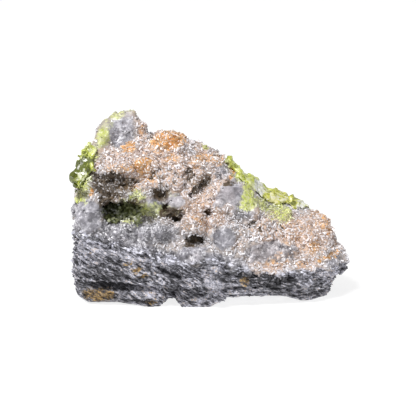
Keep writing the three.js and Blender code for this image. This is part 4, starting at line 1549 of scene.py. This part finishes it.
    def tree(self) -> bpy.types.NodeTree:
        """Builds the Geometry Nodes group, with a named input for each size.

        Returns:
            The node group.
        """
        group = bpy.data.node_groups.new(self.name, "GeometryNodeTree")
        graph = Graph(group)
        self._sockets(group)
        given = graph.add("NodeGroupInput", {}, {})
        strewn = self._strewn(graph, given)
        turned = self._turn(graph, given, self.upright or strewn.other("Normal"))
        form = self._moved(graph, self._form(graph), (0.0, 0.0, -self.sunk))
        scale = self._scale(graph, given)
        inputs = {"Points": strewn, "Instance": form, "Rotation": turned, "Scale": scale}
        placed = graph.add("GeometryNodeInstanceOnPoints", {}, inputs)
        toned = graph.add(
            "GeometryNodeStoreNamedAttribute",
            {"data_type": "FLOAT", "domain": "INSTANCE"},
            {"Geometry": placed, "Name": "tone", "Value": self._random(graph, Draw.TONE)},
        )
        real = graph.add("GeometryNodeRealizeInstances", {}, {"Geometry": toned})
        if self.fused:
            real = self._joined(graph, (given.other("Skin"), real))
        shading = {"Geometry": real, "Shade Smooth": False}
        flat = graph.add("GeometryNodeSetShadeSmooth", {}, shading)
        dressing = {"Geometry": flat, "Material": given.other("Finish")}
        dressed = graph.add("GeometryNodeSetMaterial", {}, dressing)
        graph.add("NodeGroupOutput", {}, {"Crystals": dressed})
        return group

    def apply_to(self, holder: bpy.types.Object, finish: bpy.types.Material | None) -> None:
        """Puts the scatter on an object as a modifier.

        Args:
            holder: The object whose mesh is strewn.
            finish: The crystals' material, if they need one.
        """
        modifier = holder.modifiers.new(self.name, "NODES")
        modifier.node_group = self.tree()
        for item in modifier.node_group.interface.items_tree:
            if item.name == "Finish" and finish is not None:
                modifier[item.identifier] = finish

    def strew(self, skin: Skin, finish: bpy.types.Material) -> bpy.types.Mesh:
        """Strews the crystals over a skin.

        Args:
            skin: The surface to strew, which is left as it is.
            finish: The crystals' material.

        Returns:
            One plain mesh of all the crystals.
        """
        holder = bpy.data.objects.new(f"{self.name}_work", skin.mesh.copy())
        bpy.context.scene.collection.objects.link(holder)
        self.apply_to(holder, finish)
        return taken_mesh(holder)


# ---- Pieces ------------------------------------------------------------------------------------


class Shift(IntEnum):
    """How far a pattern's noise is shifted, in millimetres, so that no two patterns line up."""

    PLATE = 30
    BEND = 40
    UNEVEN = 60
    FILM = 90
    GAPS = 120


def add_piece(
    name: str, mesh: bpy.types.Mesh, finish: bpy.types.Material | None = None
) -> bpy.types.Object:
    """Adds a finished mesh to the scene as a piece that rides on the rock.

    Args:
        name: The piece's name.
        mesh: Its mesh, in place.
        finish: Its finish, or None where the mesh already carries one.

    Returns:
        The new object, at the origin.
    """
    mesh.name = name
    if finish is not None:
        mesh.materials.clear()
        mesh.materials.append(finish)
    piece = bpy.data.objects.new(name, mesh)
    bpy.context.scene.collection.objects.link(piece)
    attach(piece, BODY)
    log.info("%s: %d faces", name, len(mesh.polygons))
    return piece


@dataclass
class WallRock:
    """The foliated gneiss at the base."""

    noise: Noise
    voxel: float = 0.4  # width of the skin's faces
    inset: float = 0.6  # how far the solid is drawn in before blocks are fused with it
    contact: float = 0.8  # how far the rock rises where it meets the quartz
    near: tuple[float, float] = (3.0, 1.2)  # how near the quartz that begins and is whole
    bend: float = 2.8  # reach of the wide bends of the layers
    bends: Triple = (14.0, 14.0, 20.0)  # their spacing
    crinkle: float = 0.5  # reach of the fine bends
    crinkles: Triple = (4.0, 4.0, 3.0)  # their spacing
    layer: float = 1.3  # thickness of a layer
    sheets: float = 2.4  # sheets in a layer
    ledge: float = 0.8  # how far a broken layer stands out
    sheet_ledge: float = 0.55  # how far a sheet stands out, as a share of that
    rough: float = 0.3  # height of the rough surface
    facet: float = 0.2  # height of the broken faces of its grains
    grain: float = 1.4  # width of those faces
    foot: float = 9.0  # height up to which the foot is hollow
    blocks: Scatter = Scatter(
        "gneiss_blocks", Habit.GRAIN, mask="blocky", spacing=2.6, radius=(0.8, 1.7),
        length=(0.4, 0.9), lean=0.3, seed=2, upright=ACROSS_LAYERS, sunk=0.0, fused=True,
    )
    flakes: Scatter = Scatter(
        "gneiss_flakes", Habit.FLAKE, mask="platy", spacing=0.75, radius=(0.3, 0.68),
        length=(0.14, 0.4), lean=0.4, seed=3, upright=ACROSS_LAYERS, sunk=0.0,
    )

    def _foliation(self, points: Points) -> Values:
        """Height of each point in the layers, which wander.

        Args:
            points: Places as rows of x, y, z.

        Returns:
            Millimetres for each point.
        """
        bend = self.bend * self.noise.smooth(points + Shift.BEND, self.bends)
        crinkle = self.crinkle * self.noise.smooth(points, self.crinkles)
        return points[:, 2] + FOLIATION.rise(points[:, 0]) + bend + crinkle

    def _lifted(self, points: Points) -> Points:
        """The points with the lower edge off the ground where the foot is hollow.

        Args:
            points: Places as rows of x, y, z.

        Returns:
            The moved points.
        """
        ground = (1.0, 1.0, 0.0)
        lift = relief(ROCK_FOOT, self.noise.strayed(points * ground, RAGGED_FOOT) * ground)
        share = np.clip(1 - points[:, 2] / self.foot, 0, 1)
        return points + np.outer(lift * share, UP)

    def _breaks(
        self, points: Points, layer: Values, width: float, apart: Sequence[float]
    ) -> Values:
        """Noise that is the same through a layer, and another one in the next.

        Args:
            points: Places as rows of x, y, z.
            layer: Number of the layer that each place lies in.
            width: Spacing of the breaks along the layers.
            apart: How far the noise shifts along X and Z from layer to layer, in spacings.

        Returns:
            One value for each point, about -1 to 1.
        """
        x, y = points[:, 0] / width, points[:, 1] / width
        return self.noise.smooth(np.stack([x + apart[0] * layer, y, apart[1] * layer], axis=1))

    def _ledges(self, points: Points) -> Values:
        """How far each broken layer stands out or back, in millimetres.

        Args:
            points: Places as rows of x, y, z.

        Returns:
            Millimetres for each point.
        """
        layer = self._foliation(points) / self.layer
        thick = self._breaks(points, np.floor(layer), 5.0, (31.0, 7.7))
        thin = self._breaks(points, np.floor(layer * self.sheets), 2.6, (13.0, 3.3))
        return self.ledge * (thick + self.sheet_ledge * thin)

    def _shape(self, quartz: Skin) -> tuple[Skin, Points, Values]:
        """Gives the rock its broken surface.

        Args:
            quartz: The skin of the quartz above, up to which the rock rises.

        Returns:
            The skin, the strayed places where its patches are read, and its steepness while smooth.
        """
        solid = Skin.of_solid(Node.GNEISS)
        solid.store(blocky=eased(solid.points[:, 2], 1.0, 3.0) * solid.steepness())
        solid.raise_by(-self.inset)
        skin = solid.refined(self.voxel, 2, (self.blocks,))
        points = self._lifted(skin.points)
        skin.points = points
        steep = skin.steepness()
        skin.raise_by(self.contact * eased(skin.distance_to(quartz), *self.near))
        places = self.noise.strayed(points, RAGGED_ROCK)
        broken = self._ledges(points) * eased(steep, 0.05, 0.6) + relief(ROCK_RELIEF, places)
        rough = self.rough * self.noise.layered(points, 4.0)
        skin.raise_by(broken + rough + self.facet * facets(self.noise, points, self.grain))
        return skin, places, steep

    def build(self, quartz: Skin) -> Skin:
        """Makes the rock and the thin plates that stick out of its layers.

        Args:
            quartz: The skin of the quartz above, into which the rock grades.

        Returns:
            The rock's skin.
        """
        skin, places, steep = self._shape(quartz)
        points = skin.points
        near = eased(skin.distance_to(quartz), 4.0, 0.4) * eased(points[:, 0], 16.0, 4.0)
        skin.store(
            hollow=skin.hollowness(12, 0.5),
            rust=covered(ROCK_RUST, places),
            pale=np.maximum(covered(ROCK_PALE, places), 0.25 * near),
            dark=covered(ROCK_DARK, places),
            beige=covered(ROCK_BEIGE, places),
            platy=eased(steep, 0.1, 0.4) * eased(points[:, 2], 0.6, 1.6),
        )
        rock = add_piece("gneiss_rock", skin.mesh, GneissFinish("gneiss").build())
        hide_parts(Node.GNEISS)
        flakes = self.flakes.strew(skin, GneissFinish("gneiss_mica", flakes=True).build())
        add_piece(self.flakes.name, flakes)
        return skin


QUARTZ_CRYSTALS = QuartzFinish(
    "quartz_crystals", crystals=True, clarity=0.15, clean=0.75, roughness=0.3
)


@dataclass
class VeinQuartz:
    """The quartz on the gneiss, its druse and the film on it."""

    noise: Noise
    voxel: float = 0.48  # width of the skin's faces
    inset: float = 0.65  # how far the solid is drawn in before nodules are fused with it
    overlap: float = 0.35  # how much farther than that it rises where it meets the gneiss
    near: tuple[float, float] = (3.0, 1.0)  # how near the others that begins and is whole
    peak: tuple[float, float] = (56.0, 51.0)  # heights where the drawing in begins and is whole
    crystal: float = 3.4  # width of a facet of glassy quartz
    facet: float = 1.0  # height of those facets
    chip: float = 1.2  # width of the small broken faces
    chip_rise: float = 0.35  # their height
    rough: float = 0.15  # height of the rough surface
    worn: int = 14  # rounds that smooth quartz is relaxed
    nodules: Scatter = Scatter(
        "quartz_nodules", Habit.KNOB, mask="clumpy", spacing=3.8, radius=(1.1, 2.2),
        length=(1.0, 2.0), lean=1.5, seed=4, sunk=0.45, fused=True,
    )
    clumps: Scatter = Scatter(
        "quartz_clumps", Habit.KNOB, mask="clumpy", spacing=1.8, radius=(0.6, 1.5),
        length=(0.6, 1.4), lean=1.5, seed=5, sunk=0.2, fused=True,
    )
    druse: Scatter = Scatter(
        "quartz_druse", Habit.GRAIN, mask="druse", spacing=0.76, radius=(0.28, 0.58),
        length=(0.3, 0.66), lean=1.5, seed=7, sunk=-0.3,
    )
    points_of_glass: Scatter = Scatter(
        "quartz_points", Habit.POINT, mask="sparse", spacing=1.5, radius=(0.35, 0.8),
        length=(0.7, 1.5), lean=0.8, seed=9, sunk=0.3,
    )

    def _grown(self, crust: Skin) -> Skin:
        """The drawn-in solid with nodules on it, but none under the crust or on bare quartz.

        Args:
            crust: The skin of the green crust.

        Returns:
            The new skin, still smooth.
        """
        solid = Skin.of_solid(Node.QUARTZ).refined(COARSE, 0)
        low = eased(solid.points[:, 2], *self.peak)
        open_air = eased(solid.distance_to(crust), 0.9, 2.2)
        bare = covered(GLASSY + SMOOTH, solid.points)
        solid.store(clumpy=low * open_air * (1 - 0.9 * bare) ** 2)
        solid.raise_by(-self.inset * low)
        return solid.refined(self.voxel, 1, (self.nodules, self.clumps))

    def _crystals(self, points: Points, glassy: Values) -> Values:
        """How far facets and small broken faces raise each point, in millimetres.

        Args:
            points: Places as rows of x, y, z.
            glassy: How glassy the quartz is at each point.

        Returns:
            Millimetres for each point.
        """
        rough = 1 - 0.85 * covered(SMOOTH, points)
        glass = self.facet * rough * facets(self.noise, points, self.crystal) + self.inset
        chips = self.chip_rise * facets(self.noise, points, self.chip)
        return glassy * glass + rough * (chips + self.rough * self.noise.layered(points, 1.4))

    def _features(self, points: Points) -> Values:
        """How far the named features raise each point; what lies back is uneven.

        Args:
            points: Places as rows of x, y, z.

        Returns:
            Millimetres for each point.
        """
        form = relief(QUARTZ_RELIEF, self.noise.strayed(points, RAGGED_RELIEF))
        uneven = 0.8 + 0.9 * self.noise.smooth(points + Shift.UNEVEN, 2.2)
        return form * np.where(form < 0, uneven, 1.0)

    def _contact(self, skin: Skin, crust: Skin, glassy: Values) -> Values:
        """How far each point rises to meet the gneiss below and the crust behind.

        Args:
            skin: The quartz's skin.
            crust: The skin of the green crust.
            glassy: How glassy the quartz is at each point.

        Returns:
            Millimetres for each point.
        """
        rock = Skin.of_solid(Node.GNEISS).refined(COARSE, 0)
        below = (self.inset + self.overlap) * eased(skin.distance_to(rock), *self.near)
        behind = self.inset * eased(skin.distance_to(crust), *self.near) * (1 - glassy)
        return np.maximum(below, behind)

    def shape(self) -> Skin:
        """Gives the quartz its broken surface.

        Returns:
            The skin of the quartz, without crystals.
        """
        crust = Skin.of_solid(Node.CRUST).refined(COARSE, 0)
        skin = self._grown(crust)
        points = skin.points
        glassy = covered(GLASSY, self.noise.strayed(points, RAGGED[:1]))
        skin.ease_by(self.worn, np.square(covered(SMOOTH, points)))
        nearest, second, _, arrows = self.noise.cells(points, self.crystal)
        skin.store(edge=eased(second - nearest, 0.16, 0.02), facet=0.5 + 0.5 * arrows[:, 2])
        broken = self._crystals(points, glassy) + self._features(points)
        skin.raise_by(broken + relief(QUARTZ_LUMPS, points) + self._contact(skin, crust, glassy))
        skin.lower(relief(QUARTZ_DROP, skin.points))
        skin.soften()
        return skin

    def _mark(self, skin: Skin, rock: Skin) -> None:
        """Keeps what the finishes and the scatters read.

        Args:
            skin: The quartz's shaped skin.
            rock: The skin of the gneiss below.
        """
        points = skin.points
        places = self.noise.strayed(points, RAGGED)
        above = skin.distance_to(rock)
        crisp = eased(points[:, 0], 6.0, 18.0)
        low = 0.75 * eased(above, 5.0, 3.0) * (1 - 0.7 * crisp)
        glassy = np.maximum(covered(GLASSY, places), low)
        rocky = np.maximum(eased(above, 4.4 - 3.6 * crisp, 0.3), covered(ROCKY, places))
        film = eased(self.noise.smooth(points + Shift.FILM, 12.0), -0.1, 0.5)
        white = covered(WHITE, places)
        gaps = eased(self.noise.smooth(points + Shift.GAPS, 1.5), 0.0, 0.5)
        deep = skin.hollowness(60, 2.2)
        # Dark patches among the white druse, and painted shade deep in wide hollows, go in with the
        # earth.
        dirt_and_shade = np.maximum(0.95 * white * gaps * (1 - glassy), 0.5 * eased(deep, 0.7, 1.0))
        open_air = 1 - eased(deep, 0.8, 1.0)
        worn = covered(SMOOTH, places)
        skin.store(
            glassy=glassy,
            iron=covered(IRON, places),
            blush=np.maximum(covered(BLUSH, places), 0.6 * film),
            white=white,
            green=covered(GREEN, places),
            deep=covered(DEEP_GREEN, places),
            rocky=rocky,
            earth=np.maximum(covered(EARTH_AND_SHADE, places), dirt_and_shade),
            hollow=skin.hollowness(10, 0.5),
            worn=worn,
            druse=(1 - 0.7 * glassy) * open_air * (1 - 0.6 * rocky) * (1 - worn),
            sparse=(0.15 + 0.5 * glassy * open_air) * (1 - worn) ** 2,
        )

    def build(self, skin: Skin, rock: Skin) -> None:
        """Makes the quartz body and the crystals on it.

        Args:
            skin: The quartz's shaped skin.
            rock: The skin of the gneiss below, into which the quartz grades.
        """
        self._mark(skin, rock)
        quartz = add_piece("quartz_body", skin.mesh, QuartzFinish("quartz").build())
        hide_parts(Node.QUARTZ)
        crystal = QUARTZ_CRYSTALS.build()
        for scatter in (self.druse, self.points_of_glass):
            add_piece(scatter.name, scatter.strew(skin, crystal))


@dataclass(frozen=True)
class Crust:
    """One green crust: its piece, the solid's node, the slot, and its two finishes and crystals."""

    piece: str
    node: Node
    slot: str
    plate: PyromorphiteFinish
    crystal: PyromorphiteFinish
    crystals: Scatter
    uneven: float = 0.0  # how far the plate rises and falls


# The crust's greens, much darkened for the vug: painted shade inside it.
VUG_GREEN_SHADED = PyromorphiteFinish(
    "vug_pyromorphite",
    clarity=0.2,
    deep=(0.02, 0.023, 0.006),
    green=(0.13, 0.15, 0.045),
    yellow=(0.36, 0.38, 0.2),
)


@dataclass
class Pyromorphite:
    """The green crust outside and the crystals in the vug."""

    noise: Noise
    coarse: float = 0.8  # width of the faces of the skin that clumps are strewn on
    voxel: float = 0.44  # width of the finished skin's faces
    inset: float = 0.35  # how far each solid is drawn in before clumps are fused with it
    crystal: float = 2.8  # width of a facet of the glassy crust
    facet: float = 0.5  # height of those facets
    chip: float = 1.3  # width of the small broken faces
    chip_rise: float = 0.2  # their height
    worn: int = 7  # rounds that the glassy crust is relaxed
    clumps: Scatter = Scatter(
        "crust_clumps", Habit.KNOB, mask="druse", spacing=1.9, radius=(0.8, 1.9),
        length=(0.6, 1.2), lean=0.5, seed=11, sunk=0.2, fused=True,
    )
    outside: Crust = Crust(
        "green_crust",
        Node.CRUST,
        "pyromorphite",
        PyromorphiteFinish("pyromorphite", crystals=False, clarity=0.15),
        PyromorphiteFinish("pyromorphite_crystals", clarity=0.3),
        Scatter(
            "crust_crystals", Habit.BARREL, mask="druse", spacing=1.5, radius=(0.4, 1.1),
            length=(0.7, 1.5), lean=0.6, seed=13, sunk=0.2,
        ),
    )
    vug: Crust = Crust(
        "vug_lining",
        Node.VUG,
        "vug_pyromorphite",
        VUG_GREEN_SHADED,
        VUG_GREEN_SHADED,
        Scatter(
            "vug_crystals", Habit.BARREL, mask="druse", spacing=1.15, radius=(0.3, 0.8),
            length=(0.8, 2.0), lean=0.8, seed=17, sunk=0.1,
        ),
        uneven=1.2,
    )

    def _plate(self, crust: Crust) -> Skin:
        """The knobbly plate that a crust's crystals stand on.

        Args:
            crust: What the crust is made from.

        Returns:
            The plate's skin, marked for its finish and crystals.
        """
        solid = Skin.of_solid(crust.node).refined(self.coarse, 0)
        solid.store(druse=1 - 0.95 * covered(CRUST_GLASSY, solid.points))
        solid.raise_by(-self.inset)
        skin = solid.refined(self.voxel, 1, (self.clumps,))
        skin.ease_by(self.worn, covered(CRUST_GLASSY, skin.points))
        points = skin.points
        places = self.noise.strayed(points, RAGGED[:1])
        glassy = covered(CRUST_GLASSY, places)
        uneven = crust.uneven * self.noise.smooth(points + Shift.PLATE, 3.2)
        form = relief(CRUST_RELIEF, places) + uneven
        coarse = self.facet * glassy * facets(self.noise, points, self.crystal)
        fine = self.chip_rise * (1 - 0.5 * glassy) * facets(self.noise, points, self.chip)
        skin.raise_by(form + coarse + fine + self.inset * glassy)
        skin.lower(relief(CRUST_DROP, points))
        skin.soften()
        skin.store(
            hollow=skin.hollowness(12, 0.6),
            pale=covered(CRUST_PALE, places),
            deep=covered(CRUST_DEEP, places),
            sunny=covered(CRUST_SUNNY, places),
            druse=1 - glassy,
        )
        return skin

    def build(self) -> None:
        """Makes both crusts and their crystals."""
        for crust in (self.outside, self.vug):
            skin = self._plate(crust)
            finish = crust.plate.build()
            crystal = finish if crust.crystal == crust.plate else crust.crystal.build()
            plate = add_piece(crust.piece, skin.mesh, finish)
            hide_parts(crust.node)
            add_piece(crust.crystals.name, crust.crystals.strew(skin, crystal))


# ---- Studio ------------------------------------------------------------------------------------


@dataclass(frozen=True)
class Lamp:
    """A square soft light: its place and width in millimetres, and its power in watts."""

    name: str
    place: Triple
    width: float
    power: float


@dataclass
class Studio:
    """The pale floor, the soft lights and the camera, which looks from a little above."""

    aim: Triple = (-0.94, -0.82, 28.4)
    distance: float = 460.0
    elevation: float = 12.0  # degrees
    lens: float = 120.0
    sensor: float = 36.0
    far: float = 20000.0
    floor_half: float = 4000.0
    floor_grey: float = 0.26
    floor_roughness: float = 0.9
    floor_glow: float = 0.8
    sky: float = 0.36
    lamps: tuple[Lamp, ...] = (
        Lamp("key light", (-1100.0, -1300.0, 2500.0), width=800.0, power=92.0),
        Lamp("fill light", (1500.0, -1600.0, 900.0), width=1600.0, power=8.0),
    )

    WHITE = (1.0, 1.0, 1.0, 1.0)

    def _floor(self) -> None:
        """A wide matt floor under the rock."""
        half = self.floor_half * MM
        corners = [(-half, -half, 0), (half, -half, 0), (half, half, 0), (-half, half, 0)]
        mesh = bpy.data.meshes.new("floor")
        mesh.from_pydata(corners, [], [(0, 1, 2, 3)])
        material = bpy.data.materials.new("floor")
        material.use_nodes = True
        inputs = material.node_tree.nodes["Principled BSDF"].inputs
        inputs["Base Color"].default_value = (*(self.floor_grey,) * 3, 1.0)
        inputs["Roughness"].default_value = self.floor_roughness
        inputs["Emission Color"].default_value = self.WHITE
        inputs["Emission Strength"].default_value = self.floor_glow
        mesh.materials.append(material)
        floor = bpy.data.objects.new("floor", mesh)
        bpy.context.scene.collection.objects.link(floor)

    def _light(self, lamp: Lamp) -> None:
        """Adds a lamp that points at the rock.

        Args:
            lamp: The lamp's place, width and power.
        """
        light = bpy.data.lights.new(lamp.name, "AREA")
        light.size = lamp.width * MM
        light.energy = lamp.power
        holder = bpy.data.objects.new(lamp.name, light)
        holder.location = Vector(lamp.place) * MM
        toward = Vector(self.aim) * MM - holder.location
        holder.rotation_euler = toward.to_track_quat("-Z", "Y").to_euler()
        bpy.context.scene.collection.objects.link(holder)

    def _sky(self) -> None:
        """Sets an even white sky."""
        world = bpy.data.worlds.new("studio")
        world.use_nodes = True
        inputs = world.node_tree.nodes["Background"].inputs
        inputs["Color"].default_value = self.WHITE
        inputs["Strength"].default_value = self.sky
        bpy.context.scene.world = world
        bpy.context.scene.view_settings.view_transform = "Standard"

    def _camera(self) -> None:
        """Adds the camera that looks at the rock."""
        camera = bpy.data.cameras.new("camera")
        camera.lens = self.lens
        camera.sensor_width = self.sensor
        camera.clip_end = self.far * MM
        viewer = bpy.data.objects.new("camera", camera)
        rise = math.radians(self.elevation)
        back = Vector((0.0, -math.cos(rise), math.sin(rise)))
        viewer.location = (Vector(self.aim) + back * self.distance) * MM
        viewer.rotation_euler = (-back).to_track_quat("-Z", "Y").to_euler()
        bpy.context.scene.collection.objects.link(viewer)
        bpy.context.scene.camera = viewer

    def build(self) -> None:
        """Sets the floor, the lights, the sky and the camera."""
        self._floor()
        for lamp in self.lamps:
            self._light(lamp)
        self._sky()
        self._camera()


def main() -> None:
    """Loads the frame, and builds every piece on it."""
    logging.basicConfig(level=logging.INFO, format="%(message)s")
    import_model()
    noise = Noise(SEED)
    Studio().build()
    quartz = VeinQuartz(noise)
    shaped = quartz.shape()
    rock = WallRock(noise).build(shaped)
    quartz.build(shaped, rock)
    Pyromorphite(noise).build()


if __name__ == "__main__":
    main()
